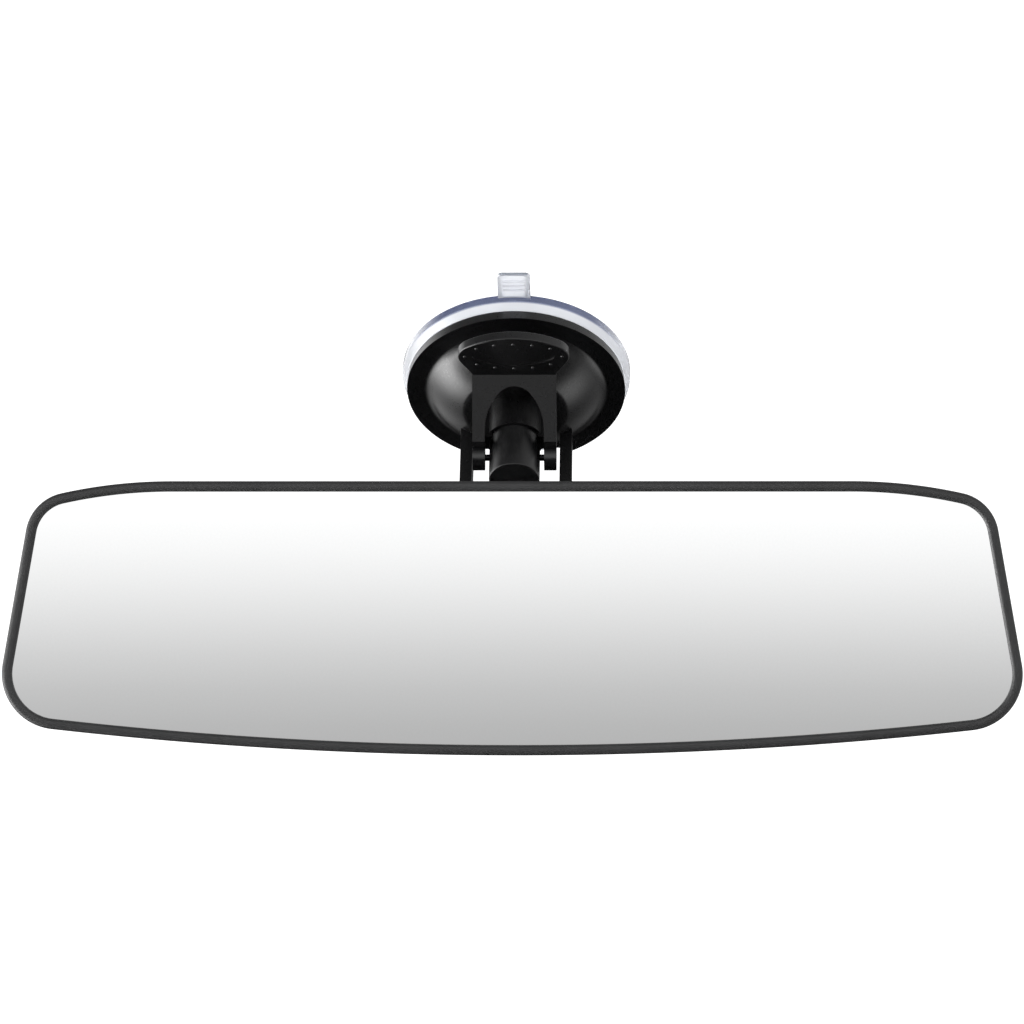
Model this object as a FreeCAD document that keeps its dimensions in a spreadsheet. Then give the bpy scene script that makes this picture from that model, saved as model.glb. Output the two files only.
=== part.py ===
import FreeCAD, Part
import Sketcher

import math
import os

# Interior rearview mirror on a lever-locked suction cup.
#
# Frame: the origin is the centre of the suction face, where the cup meets the windscreen. X runs
# along the mirror, -Y is the way the glass faces and +Z is up. The cup's own axis leaves the
# windscreen down and back into the cabin. In the cup's frame x is the part's X, y runs up along
# the windscreen and z is the height above it.

Vector = FreeCAD.Vector
X_AXIS = Vector(1, 0, 0)
Y_AXIS = Vector(0, 1, 0)
Z_AXIS = Vector(0, 0, 1)
ORIGIN = Vector(0, 0, 0)
QUARTER_TURN = 90
HALF_TURN = 180
FULL_TURN = 360

# name, number and what it measures: millimetres, or degrees where the name says angle, slope or tilt
SIZE_ROWS = (
    ("mount_tilt", 51.0, "cup axis to the level line that the glass faces along"),
    # suction pad
    ("pad_diameter", 70.0, "clear pad, over the rim"),
    ("pad_band", 2.5, "straight edge of the rim"),
    ("pad_rim_height", 5.0, "windscreen to the top of the rim"),
    ("pad_rim_slope_in", 1.6, "how far the rim leans in above its straight edge"),
    ("pad_seat_width", 4.2, "flat on the rim that carries the cover"),
    ("pad_lip_width", 8.0, "flat ring that lies on the windscreen"),
    ("pad_hollow", 2.3, "height of the vacuum space under the middle, locked"),
    ("pad_skin", 1.2, "membrane round the foot of the stem"),
    ("tab_width", 9.9, "pull tab"),
    ("tab_length", 10.2, "pull tab beyond the rim"),
    ("tab_thickness", 1.2, "pull tab"),
    ("tab_corner", 1.5, "corner radius of the pull tab"),
    ("rib_span", 6.9, "length of a grip rib across the tab"),
    ("rib_count", 3.0, "grip ribs"),
    ("rib_pitch", 1.93, "grip rib to grip rib"),
    ("rib_thickness", 0.7, "grip rib along the tab"),
    ("rib_height", 0.4, "grip rib above the tab"),
    ("rib_inset", 2.3, "end of the tab to the first grip rib"),
    # stem, moulded into the pad
    ("foot_diameter", 22.0, "disc inside the pad"),
    ("foot_thickness", 1.5, "disc inside the pad"),
    ("foot_gap", 0.1, "disc to the pad that holds it"),
    ("stem_diameter", 15.4, "sliding stem"),
    ("stem_height", 43.7, "windscreen to the end of the stem, locked"),
    ("stem_edge", 0.5, "chamfer on the end of the stem"),
    ("stem_gap", 0.1, "stem to its guide, each side"),
    ("pin_height", 34.9, "windscreen to the lever's pin, locked"),
    ("pin_diameter", 2.0, "lever pin"),
    ("pin_fit", 0.02, "pin to the stem that grips it"),
    ("pin_running_fit", 0.05, "pin to the lever that turns on it"),
    # return spring
    ("spring_wire", 1.0, "return spring"),
    ("spring_diameter", 20.6, "return spring, to the middle of the wire"),
    ("spring_turns", 2.5, "return spring"),
    ("spring_gap", 0.3, "return spring to its seats"),
    # cover
    ("cover_diameter", 67.0, "black cover, over the flange"),
    ("flange_height", 3.1, "flange of the cover"),
    ("flange_flare", 0.25, "how much wider the flange is at its front"),
    ("flange_lip", 1.8, "outer wall under the flange"),
    ("dome_diameter", 52.6, "foot of the dome"),
    ("dome_rise", 0.9, "raised edge at the foot of the dome"),
    ("dome_radius", 36.0, "ball shape of the dome, about a point on the cup's axis"),
    ("dome_top", 30.0, "flat round the guide tower, across"),
    ("cover_wall", 1.8, "wall of the cover"),
    ("guide_diameter", 17.6, "guide tower round the stem"),
    ("guide_height", 28.5, "windscreen to the top of the guide tower"),
    ("land_out", 12.6, "cam land, from the middle plane to its outer side"),
    ("land_in", 7.0, "cam land, from the middle plane to its root in the guide"),
    ("land_up", 4.0, "cam land, beyond the pin towards the thumb pad"),
    ("land_down", 2.0, "cam land, beyond the pin the other way"),
    ("ear_gap", 26.8, "between the two ears"),
    ("ear_thickness", 3.7, "one ear"),
    ("hinge_drop", 17.0, "stem axis to the arm's hinge, down the windscreen"),
    ("hinge_height", 38.5, "windscreen to the arm's hinge"),
    ("ear_round", 6.0, "radius of the ear round its hinge"),
    ("notch_drop", 27.5, "stem axis to the straight notch in the flange"),
    # lever
    ("lever_slope_angle", 46.3, "plate of the lever to the windscreen"),
    ("lever_width", 25.4, "plate of the lever"),
    ("lever_face", 4.3, "face of the plate, in front of the pin"),
    ("lever_plate", 3.5, "thickness of the plate"),
    ("lever_length", 25.4, "pin to the bend"),
    ("arch_width", 17.9, "arched cut-out round the stem"),
    ("arch_reach", 21.9, "pin to the top of the arch"),
    ("arch_rise", 13.2, "end of the straight sides of the cut-out to its top"),
    ("arch_top_radius", 6.3, "round top of the cut-out"),
    ("knuckle_radius", 3.9, "round of the lever about its pin"),
    ("knuckle_notch_angle", 31.7, "where the knuckle meets the plate"),
    ("knuckle_heel_angle", 215.0, "where the knuckle ends in the flat heel"),
    ("plate_start", 5.1, "pin to the near end of the plate's face"),
    ("cam_radius", 4.0, "eccentric circle that bears on the land"),
    ("cam_throw", 2.0, "middle of that circle from the pin"),
    ("cam_gap", 0.1, "cam to its land"),
    ("open_angle", 60.0, "travel of the lever"),
    ("thumb_slope_angle", 6.9, "thumb pad to the windscreen"),
    ("thumb_width", 33.5, "thumb pad across"),
    ("thumb_half_depth", 9.7, "half of the thumb oval the short way"),
    ("thumb_offset", 9.2, "bend to the middle of the thumb oval"),
    ("thumb_thickness", 3.1, "thumb pad"),
    ("thumb_edge", 0.5, "rounded edge of the thumb pad"),
    ("grip_offset", 9.7, "bend to the middle of the ring of dots"),
    ("grip_width", 29.2, "ring of dots across"),
    ("grip_depth", 12.8, "ring of dots the short way"),
    ("dot_count", 12.0, "raised dots"),
    ("dot_diameter", 1.0, "raised dot"),
    ("dot_height", 0.35, "raised dot"),
    ("recess_width", 24.6, "shallow oval inside the dots"),
    ("recess_half_depth", 4.9, "shallow oval the short way, half"),
    ("recess_sink", 0.4, "depth of the shallow oval"),
    # arm and its hinge
    ("arm_reach", 37.0, "hinge to the ball, towards the driver"),
    ("arm_drop", 28.2, "hinge to the ball, down"),
    ("arm_thickness", 8.0, "arm, seen from the side"),
    ("arm_barrel", 11.6, "barrel round the hinge screw"),
    ("arm_width", 24.4, "barrel along the hinge"),
    ("arm_boss", 13.0, "round end that carries the ball stud"),
    ("stud_slope_angle", 20.0, "ball stud to the level"),
    ("stud_seat", 14.5, "ball to the face that the stud sits on"),
    ("stud_elbow", 27.0, "ball to the bend in the arm"),
    ("stud_shank", 5.0, "shank in the arm"),
    ("stud_bite", 11.0, "length of shank in the arm"),
    ("stud_neck", 6.4, "neck behind the ball"),
    ("stud_collar", 9.6, "collar that seats on the arm"),
    ("stud_collar_height", 1.5, "collar that seats on the arm"),
    ("stud_fit", 0.03, "shank to the arm"),
    ("hinge_screw", 5.0, "hinge screw"),
    ("hinge_fit", 0.05, "screw to what turns or sits on it"),
    ("hinge_head", 8.5, "head of the hinge screw"),
    ("hinge_head_height", 3.2, "head of the hinge screw"),
    ("hinge_key", 4.0, "hexagon socket in the head, across flats"),
    ("hinge_nut", 8.0, "nut across flats"),
    ("hinge_nut_height", 4.0, "nut"),
    ("hinge_tail", 1.0, "screw beyond the nut"),
    ("washer_diameter", 11.0, "friction washer"),
    ("washer_gap", 0.1, "friction washer to each side"),
    # ball joint
    ("ball_diameter", 14.0, "ball"),
    ("liner_gap", 0.1, "ball to liner, and liner to seat"),
    ("liner_wall", 1.5, "liner"),
    ("liner_split", 0.3, "between the two halves of the liner"),
    ("mouth_angle", 57.0, "half angle of the socket's mouth"),
    ("socket_wall", 2.0, "wall of the ball's housing"),
    ("housing_flange", 2.0, "flange of the ball's housing"),
    ("housing_gap", 0.3, "ball's housing to its hole in the shell"),
    ("collar_wall", 1.6, "collar round the ball's housing, on the back of the shell"),
    ("collar_height", 1.6, "collar above the back of the shell"),
    ("cup_wall", 1.4, "pressure cup, round the liner"),
    ("cup_floor", 1.5, "pressure cup, in front of the liner"),
    ("cup_gap", 0.1, "pressure cup to its bore"),
    ("disc_spring", 0.4, "thickness of the disc spring"),
    ("disc_spring_height", 0.9, "disc spring, from plate to cup"),
    ("disc_spring_bore", 9.0, "hole of the disc spring"),
    ("clamp_plate", 1.0, "steel clamp plate"),
    ("clamp_diameter", 37.0, "steel clamp plate and the flange of the ball's housing"),
    ("clamp_screw_circle", 31.0, "circle through the clamp screws"),
    ("clamp_screw_diameter", 2.6, "clamp screw"),
    ("clamp_screw_head", 4.6, "head of a clamp screw"),
    ("clamp_head_height", 1.4, "head of a clamp screw"),
    ("clamp_head_taper", 0.7, "top of a clamp screw's head to its seat"),
    ("clamp_screw_length", 6.0, "clamp screw under its head"),
    ("clamp_post", 5.2, "post for a clamp screw"),
    ("clamp_hole_gap", 0.2, "clamp screw to its hole in the plate"),
    ("clamp_bite", 0.02, "clamp screw to the post that it is driven into"),
    # mirror head
    ("head_width", 300.0, "mirror head, over the frame"),
    ("head_height", 80.6, "mirror head, over the frame"),
    ("head_lean_angle", 9.95, "lean of the two sides"),
    ("head_flat", 200.0, "straight middle of the top edge"),
    ("head_droop_radius", 150.0, "top edge beyond its straight middle"),
    ("head_top_radius", 13.5, "upper corners"),
    ("head_foot_radius", 16.5, "lower corners"),
    ("head_crown_radius", 1215.0, "lower edge"),
    ("ball_above_middle", 6.0, "middle of the head to the ball, up"),
    ("ball_depth", 19.0, "front of the frame to the ball"),
    ("frame_face", 3.1, "width of the frame round the glass"),
    ("frame_wall", 1.6, "side wall of the frame"),
    ("frame_lip", 1.4, "frame in front of the glass"),
    ("frame_depth", 6.5, "frame from front to back"),
    ("frame_round", 1.3, "outer rounding of the frame"),
    ("frame_inner_round", 0.8, "inner rounding of the frame"),
    ("glass_thickness", 3.0, "mirror glass"),
    ("glass_gap", 0.3, "edge of the glass to the frame"),
    ("foam_thickness", 1.0, "foam pad behind the glass"),
    ("foam_length", 22.0, "foam pad"),
    ("foam_height", 9.0, "foam pad"),
    ("foam_outer", 108.0, "outer foam pads from the middle"),
    ("foam_inner", 40.0, "inner foam pads from the middle"),
    ("foam_up", 22.0, "foam pads above and below the middle"),
    ("shell_wall", 2.0, "wall of the rear shell"),
    ("shell_depth", 15.5, "front of the frame to the back of the shell, in the middle"),
    ("shell_fall", 3.5, "how much shallower the shell is at its ends"),
    ("shell_round", 4.2, "rounded edge of the shell's back"),
    ("tongue_gap", 0.1, "tongue of the shell to the frame's wall"),
    ("tongue_wall", 1.5, "tongue of the shell"),
    ("tongue_end_gap", 0.3, "tongue to the back of the glass"),
)

document = FreeCAD.newDocument("interior_rearview_mirror")
sheet = document.addObject("Spreadsheet::Sheet", "Sizes")
for row, (alias, number, meaning) in enumerate(SIZE_ROWS, start=1):
    sheet.set(f"A{row}", meaning)
    sheet.set(f"B{row}", str(number))
    sheet.setAlias(f"B{row}", alias)
document.recompute()


class Size:
    """A length or angle that carries its number and the spreadsheet expression behind it."""

    def __init__(self, number, text):
        self.number = float(number)
        self.text = text

    @staticmethod
    def of(value):
        return value if isinstance(value, Size) else Size(value, repr(float(value)))

    def __add__(self, other):
        other = Size.of(other)
        return Size(self.number + other.number, f"({self.text} + {other.text})")

    def __sub__(self, other):
        other = Size.of(other)
        return Size(self.number - other.number, f"({self.text} - {other.text})")

    def __mul__(self, other):
        other = Size.of(other)
        return Size(self.number * other.number, f"({self.text} * {other.text})")

    def __truediv__(self, other):
        other = Size.of(other)
        return Size(self.number / other.number, f"({self.text} / {other.text})")

    def __neg__(self):
        return Size(-self.number, f"(0 - {self.text})")

    def __float__(self):
        return self.number

    __radd__ = __add__
    __rmul__ = __mul__


def size(alias):
    """The named cell of the sheet, as a number with its expression."""
    return Size(float(sheet.get(alias)), f"Sizes.{alias}")


def mm(alias):
    """The named cell of the sheet, as a plain number."""
    return float(sheet.get(alias))


def root(value):
    return Size(math.sqrt(value.number), f"sqrt({value.text})")


def cosine(angle):
    return Size(math.cos(math.radians(angle.number)), f"cos({angle.text})")


def sine(angle):
    return Size(math.sin(math.radians(angle.number)), f"sin({angle.text})")


ZERO = Size(0.0, "0")

# ---------------------------------------------------------------- places of the main axes

CUP = FreeCAD.Placement(ORIGIN, FreeCAD.Rotation(X_AXIS, QUARTER_TURN + mm("mount_tilt")))
HINGE = CUP.multVec(Vector(0, -mm("hinge_drop"), mm("hinge_height")))
BALL = HINGE + Vector(0, -mm("arm_reach"), -mm("arm_drop"))
UPRIGHT = FreeCAD.Rotation(X_AXIS, QUARTER_TURN)
# head frame: x along the mirror, y up, z out of the glass, with the front of the frame at z = 0
HEAD = FreeCAD.Placement(BALL + Vector(0, -mm("ball_depth"), -mm("ball_above_middle")), UPRIGHT)
SOCKET = FreeCAD.Placement(BALL, UPRIGHT)
LEVER = CUP.multiply(FreeCAD.Placement(Vector(0, 0, mm("pin_height")), FreeCAD.Rotation()))
BALL_IN_HEAD = Vector(0, mm("ball_above_middle"), -mm("ball_depth"))

# ---------------------------------------------------------------- small helpers


def new_body(label, placement):
    body = document.addObject("PartDesign::Body", label)
    body.Label = label
    body.Placement = placement
    return body


def origin_item(body, role):
    return next(item for item in body.Origin.OriginFeatures if item.Role == role)


def new_sketch(body, name, role):
    sketch = body.newObject("Sketcher::SketchObject", name)
    sketch.AttachmentSupport = [(origin_item(body, role), "")]
    sketch.MapMode = "FlatFace"
    return sketch


def bind(item, **expressions):
    """Binds each named property of an object to a size."""
    for name, value in expressions.items():
        item.setExpression(name, Size.of(value).text)


def lift(sketch, height):
    """Moves a sketch along its own normal by a bound height."""
    sketch.setExpression("AttachmentOffset.Base.z", Size.of(height).text)


def tilt(sketch, axis, angle):
    """Turns a sketch about an axis of its own plane by a bound angle."""
    turn = FreeCAD.Rotation(axis, angle.number)
    sketch.AttachmentOffset = FreeCAD.Placement(ORIGIN, turn)
    sketch.setExpression("AttachmentOffset.Rotation.Angle", f"{angle.text} * 1 deg")


def pin_point(sketch, edge, end, point):
    """Ties one end of an edge to its two bound coordinates."""
    for kind, coordinate in zip(("DistanceX", "DistanceY"), point):
        index = sketch.addConstraint(
            Sketcher.Constraint(kind, -1, 1, edge, end, float(coordinate))
        )
        sketch.setExpression(f"Constraints[{index}]", Size.of(coordinate).text)


def arc_middle(start, end, radius):
    """The centre of the arc from start to end: it turns left for a positive radius, else right."""
    chord = end - start
    half = chord.Length / 2
    across = Vector(-chord.y, chord.x, 0).normalize()
    rise = math.sqrt(max(radius * radius - half * half, 0.0))
    return (start + end) * 0.5 + across * math.copysign(rise, radius)


def outline(sketch, corners):
    """Draws a closed outline. A corner is (x, y), or (x, y, radius) where an arc leaves it."""
    spots = [Vector(float(corner[0]), float(corner[1]), 0) for corner in corners]
    count = len(corners)
    for number, corner in enumerate(corners):
        start = spots[number]
        end = spots[(number + 1) % count]
        if len(corner) == 2:
            edge = sketch.addGeometry(Part.LineSegment(start, end), False)
            ends = (1, 2)
        else:
            radius = float(corner[2])
            middle = arc_middle(start, end, radius)
            first, last = (start, end) if radius > 0 else (end, start)
            angles = [math.atan2(p.y - middle.y, p.x - middle.x) for p in (first, last)]
            if angles[1] < angles[0]:
                angles[1] += 2 * math.pi
            circle = Part.Circle(middle, Z_AXIS, abs(radius))
            edge = sketch.addGeometry(Part.ArcOfCircle(circle, *angles), False)
            index = sketch.addConstraint(Sketcher.Constraint("Radius", edge, abs(radius)))
            bound = Size.of(corner[2])
            sketch.setExpression(
                f"Constraints[{index}]", bound.text if radius > 0 else (-bound).text
            )
            ends = (1, 2) if radius > 0 else (2, 1)
        pin_point(sketch, edge, ends[0], corner)
        pin_point(sketch, edge, ends[1], corners[(number + 1) % count])


def circle_in(sketch, x, y, radius):
    edge = sketch.addGeometry(
        Part.Circle(Vector(float(x), float(y), 0), Z_AXIS, float(radius)), False
    )
    pin_point(sketch, edge, 3, (x, y))
    index = sketch.addConstraint(Sketcher.Constraint("Radius", edge, float(radius)))
    sketch.setExpression(f"Constraints[{index}]", Size.of(radius).text)


def box_in(sketch, low_x, low_y, high_x, high_y):
    outline(sketch, [(low_x, low_y), (high_x, low_y), (high_x, high_y), (low_x, high_y)])


def revolve(body, name, corners):
    """Turns a profile of (radius, height) corners round the body's z axis."""
    sketch = new_sketch(body, f"{name}_profile", "XZ_Plane")
    outline(sketch, corners)
    feature = body.newObject("PartDesign::Revolution", name)
    feature.Profile = sketch
    feature.ReferenceAxis = (sketch, ["V_Axis"])
    feature.Angle = FULL_TURN
    return feature


def extrude(body, name, sketch, length, both_ways=False, reverse=False, cut=False):
    """Pads or cuts a sketch by a bound length."""
    kind = "PartDesign::Pocket" if cut else "PartDesign::Pad"
    feature = body.newObject(kind, name)
    feature.Profile = sketch
    feature.Midplane = both_ways
    feature.Reversed = reverse
    bind(feature, Length=length)
    return feature


def plain(label, shape, placement):
    """A node whose shape is worked out here, put in its place afterwards."""
    item = document.addObject("Part::Feature", label)
    item.Label = label
    item.Shape = shape
    item.Placement = placement
    return item


def rod(radius, start, end):
    return Part.makeCylinder(radius, (end - start).Length, start, end - start)


# ---------------------------------------------------------------- suction cup


def suction_pad():
    """Clear pad: a rim on the windscreen, a thin raised middle round the stem's foot, and a tab."""
    body = new_body("suction_pad", CUP)
    rim = size("pad_diameter") / 2
    top = size("pad_rim_height")
    seat_out = rim - size("pad_rim_slope_in")
    seat_in = seat_out - size("pad_seat_width")
    lip_in = rim - size("pad_lip_width")
    foot = size("foot_diameter") / 2 + size("foot_gap")
    hollow = size("pad_hollow")
    skin = size("pad_skin")
    foot_low = hollow + skin
    foot_high = foot_low + size("foot_thickness") + 2 * size("foot_gap")
    sleeve = size("stem_diameter") / 2 + size("foot_gap")
    revolve(
        body,
        "pad_disc",
        [
            (lip_in, ZERO),
            (rim, ZERO),
            (rim, size("pad_band")),
            (seat_out, top),
            (seat_in, top),
            (seat_in - skin, top - skin),
            (foot + 2 * skin, top - skin),
            (foot + skin, foot_high),
            (foot, foot_high + skin),
            (sleeve, foot_high + skin),
            (sleeve, foot_high),
            (foot, foot_high),
            (foot, foot_low),
            (ZERO, foot_low),
            (ZERO, hollow),
            (foot, hollow),
        ],
    )
    half = size("tab_width") / 2
    corner = size("tab_corner")
    end = rim + size("tab_length")
    sketch = new_sketch(body, "tab_outline", "XY_Plane")
    outline(
        sketch,
        [
            (-half, rim - size("tab_corner")),
            (half, rim - size("tab_corner")),
            (half, end - corner, corner),
            (half - corner, end),
            (-half + corner, end, corner),
            (-half, end - corner),
        ],
    )
    extrude(body, "pull_tab", sketch, size("tab_thickness"))
    sketch = new_sketch(body, "rib_outline", "XY_Plane")
    lift(sketch, size("tab_thickness"))
    first = end - size("rib_inset")
    reach = size("rib_span") / 2
    for number in range(int(mm("rib_count"))):
        high = first - number * size("rib_pitch")
        box_in(sketch, -reach, high - size("rib_thickness"), reach, high)
    extrude(body, "grip_ribs", sketch, size("rib_height"))
    return body


def pad_stem():
    """Hard stem with a disc foot that the pad is moulded round, and the hole for the lever's pin."""
    body = new_body("pad_stem", CUP)
    low = size("pad_hollow") + size("pad_skin") + size("foot_gap")
    foot = size("foot_diameter") / 2
    radius = size("stem_diameter") / 2
    top = size("stem_height")
    edge = size("stem_edge")
    high = low + size("foot_thickness")
    revolve(
        body,
        "stem_round",
        [
            (ZERO, low),
            (foot, low),
            (foot, high),
            (radius, high),
            (radius, top - edge),
            (radius - edge, top),
            (ZERO, top),
        ],
    )
    sketch = new_sketch(body, "pin_hole_outline", "YZ_Plane")
    circle_in(sketch, ZERO, size("pin_height"), size("pin_diameter") / 2 + size("pin_fit"))
    extrude(body, "pin_hole", sketch, 2 * size("stem_diameter"), both_ways=True, cut=True)
    return body


def dome_centre():
    """Height of the point on the cup's axis that the dome is round about."""
    foot = size("dome_diameter") / 2
    rise = root(size("dome_radius") * size("dome_radius") - foot * foot)
    return size("pad_rim_height") + size("flange_height") + size("dome_rise") - rise


def dome_crest():
    """Height of the flat round the guide tower."""
    flat = size("dome_top") / 2
    rise = root(size("dome_radius") * size("dome_radius") - flat * flat)
    return dome_centre() + rise


def inner_crest():
    """Height of the inside of that flat, where the dome's inner ball meets it."""
    flat = size("dome_top") / 2
    inside = size("dome_radius") - size("cover_wall")
    return dome_centre() + root(inside * inside - flat * flat)


def base_cover():
    """Black cover: flange, dome, guide tower, two cam lands, two ears and the notch between them."""
    body = new_body("base_cover", CUP)
    low = size("pad_rim_height")
    high = low + size("flange_height")
    rim = size("cover_diameter") / 2
    wall = size("cover_wall")
    foot = size("dome_diameter") / 2
    flat = size("dome_top") / 2
    guide = size("guide_diameter") / 2
    bore = size("stem_diameter") / 2 + size("stem_gap")
    inside = size("dome_radius") - wall
    inner_foot = root(inside * inside - (high - dome_centre()) * (high - dome_centre()))
    outer_wall = rim - size("flange_flare") - size("flange_lip")
    revolve(
        body,
        "cover_shell",
        [
            (bore, inner_crest()),
            (flat, inner_crest(), -inside),
            (inner_foot, high),
            (inner_foot, high - wall),
            (outer_wall, high - wall),
            (outer_wall, low),
            (rim - size("flange_flare"), low),
            (rim, high),
            (foot + size("dome_rise"), high),
            (foot, high + size("dome_rise"), size("dome_radius")),
            (flat, dome_crest()),
            (guide, dome_crest()),
            (guide, size("guide_height")),
            (bore, size("guide_height")),
        ],
    )
    land_top = (
        size("pin_height")
        - size("cam_radius")
        - size("cam_throw") * sine(size("open_angle") / 2)
        - size("cam_gap")
    )
    land_root = dome_crest() - wall / 2
    sketch = new_sketch(body, "land_outline", "XY_Plane")
    lift(sketch, land_root)
    for side in (-1, 1):
        near = side * size("land_in")
        far = side * size("land_out")
        box_in(sketch, near, -size("land_down"), far, size("land_up"))
    extrude(body, "cam_lands", sketch, land_top - land_root)
    sketch = new_sketch(body, "guide_bore_outline", "XY_Plane")
    circle_in(sketch, ZERO, ZERO, bore)
    extrude(
        body, "guide_bore", sketch, 2 * size("stem_height"), both_ways=True, cut=True
    )
    drop = size("hinge_drop")
    round_end = size("ear_round")
    hinge = size("hinge_height")
    for name, side in (("right", 1), ("left", -1)):
        sketch = new_sketch(body, f"{name}_ear_outline", "YZ_Plane")
        lift(sketch, side * (size("ear_gap") / 2 + size("ear_thickness") / 2))
        outline(
            sketch,
            [
                (-drop - round_end, high - wall / 2),
                (-drop + round_end, high - wall / 2),
                (-drop + round_end, hinge, round_end),
                (-drop, hinge + round_end, round_end),
                (-drop - round_end, hinge),
            ],
        )
        extrude(body, f"{name}_ear", sketch, size("ear_thickness"), both_ways=True)
    sketch = new_sketch(body, "hinge_hole_outline", "YZ_Plane")
    circle_in(sketch, -drop, hinge, size("hinge_screw") / 2 + size("hinge_fit"))
    extrude(body, "hinge_holes", sketch, 2 * size("ear_gap"), both_ways=True, cut=True)
    sketch = new_sketch(body, "notch_outline", "XY_Plane")
    lift(sketch, low - wall)
    half = size("ear_gap") / 2
    box_in(sketch, -half, -rim - wall, half, -size("notch_drop"))
    extrude(body, "flange_notch", sketch, size("flange_height") + 2 * wall, reverse=True, cut=True)
    return body


def return_spring():
    """Coil round the stem that lifts the cover off the pad when the lever is opened.

    Each half turn is a half ring in a plane that leans about the cup's y axis, so that the next one
    starts where it ends, in the same direction.
    """
    wire = mm("spring_wire")
    foot_top = mm("pad_hollow") + 2 * mm("pad_skin") + mm("foot_thickness") + 2 * mm("foot_gap")
    low = foot_top + mm("spring_gap") + wire / 2
    high = inner_crest().number - mm("spring_gap") - wire / 2
    halves = int(2 * mm("spring_turns"))
    rise = (high - low) / halves
    halves_made = []
    for number in range(halves):
        side = -1 if number % 2 else 1
        start = Vector(side * mm("spring_diameter") / 2, 0, low + number * rise)
        middle = Vector(0, 0, start.z + rise / 2)
        axis = (start - middle).cross(Y_AXIS * side)
        section = Part.Face(Part.Wire(Part.makeCircle(wire / 2, start, Y_AXIS)))
        halves_made.append(section.revolve(middle, axis, HALF_TURN))
    coil = halves_made[0].fuse(halves_made[1:]).removeSplitter()
    return plain("return_spring", coil, CUP)


def lever_pin():
    """Steel pin across the stem, which the lever turns on."""
    pin = document.addObject("Part::Cylinder", "lever_pin")
    pin.Label = "lever_pin"
    bind(pin, Radius=size("pin_diameter") / 2, Height=size("lever_width") - size("stem_edge"))
    half = (mm("lever_width") - mm("stem_edge")) / 2
    across = FreeCAD.Placement(Vector(-half, 0, 0), FreeCAD.Rotation(Y_AXIS, QUARTER_TURN))
    pin.Placement = LEVER.multiply(across)
    return pin


# ---------------------------------------------------------------- cam lever


def lever_profile(body):
    """Side view of the lever, along its plate: plate, knuckle and the eccentric cam."""
    slope = size("lever_slope_angle")
    face = size("lever_face")
    inner = face - size("lever_plate")
    bend = size("lever_length")
    round_radius = size("knuckle_radius")
    notch = size("knuckle_notch_angle")
    heel = size("knuckle_heel_angle")
    centre_angle = slope - size("open_angle") / 2
    cam = size("cam_radius")
    cam_x = size("cam_throw") * cosine(centre_angle)
    cam_y = size("cam_throw") * sine(centre_angle)
    last_contact = slope - QUARTER_TURN - size("open_angle")
    first_contact = slope - QUARTER_TURN + size("open_angle") / 4
    turn = slope + size("thumb_slope_angle")
    root = size("plate_start") + size("lever_plate") / 2
    sketch = new_sketch(body, "side_view", "YZ_Plane")
    tilt(sketch, -Z_AXIS, slope)
    outline(
        sketch,
        [
            (size("plate_start"), face),
            (round_radius * cosine(notch), round_radius * sine(notch), round_radius),
            (ZERO - round_radius * 1.0, ZERO, round_radius),
            (round_radius * cosine(heel), round_radius * sine(heel)),
            (cam_x + cam * cosine(last_contact), cam_y + cam * sine(last_contact), cam),
            (cam_x + cam * cosine(first_contact), cam_y + cam * sine(first_contact)),
            (root, inner),
            (bend, inner),
            (
                bend + size("thumb_thickness") * sine(turn),
                face - size("thumb_thickness") * cosine(turn),
            ),
            (bend, face),
        ],
    )
    return sketch


def lever():
    """Forked cam lever: a plate with an arched cut-out, eccentric knuckles and an oval thumb pad."""
    body = new_body("lever", LEVER)
    extrude(body, "side_slab", lever_profile(body), size("lever_width"), both_ways=True)
    slope = size("lever_slope_angle")
    half = size("arch_width") / 2
    sketch = new_sketch(body, "arch_outline", "XY_Plane")
    tilt(sketch, -X_AXIS, slope)
    below = -3 * size("knuckle_radius")
    rise = size("arch_rise")
    top = size("arch_top_radius")
    straight = size("arch_reach") - rise
    side = (half * half + rise * rise - 2 * rise * top) / (2 * (half - top))
    join_x = (side - half) * top / (side - top)
    join_y = straight + side * (rise - top) / (side - top)
    outline(
        sketch,
        [
            (-half, below),
            (half, below),
            (half, straight, side),
            (join_x, join_y, top),
            (ZERO, size("arch_reach"), top),
            (-join_x, join_y, side),
            (-half, straight),
        ],
    )
    extrude(body, "arch", sketch, 8 * size("cam_radius"), both_ways=True, cut=True)
    sketch = new_sketch(body, "pin_bore_outline", "YZ_Plane")
    circle_in(sketch, ZERO, ZERO, size("pin_diameter") / 2 + size("pin_running_fit"))
    extrude(body, "pin_bore", sketch, 2 * size("lever_width"), both_ways=True, cut=True)
    document.recompute()
    arms = body.Shape.copy()
    arms.Placement = FreeCAD.Placement()
    shape = arms.fuse(thumb_pad()).removeSplitter()
    return shape


def oval_arcs(half_width, half_depth):
    """Radius of a four-arc oval's two tips, and the point where a tip meets the flatter side."""
    tip = min(1.1 * half_depth**2 / half_width, 0.95 * half_depth, 0.95 * half_width)
    shift = ((half_width - tip) ** 2 - (half_depth - tip) ** 2) / (2 * (half_depth - tip))
    share = tip / (half_depth + shift - tip)
    return tip, (half_width - tip) * (1 + share), shift * share


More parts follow.
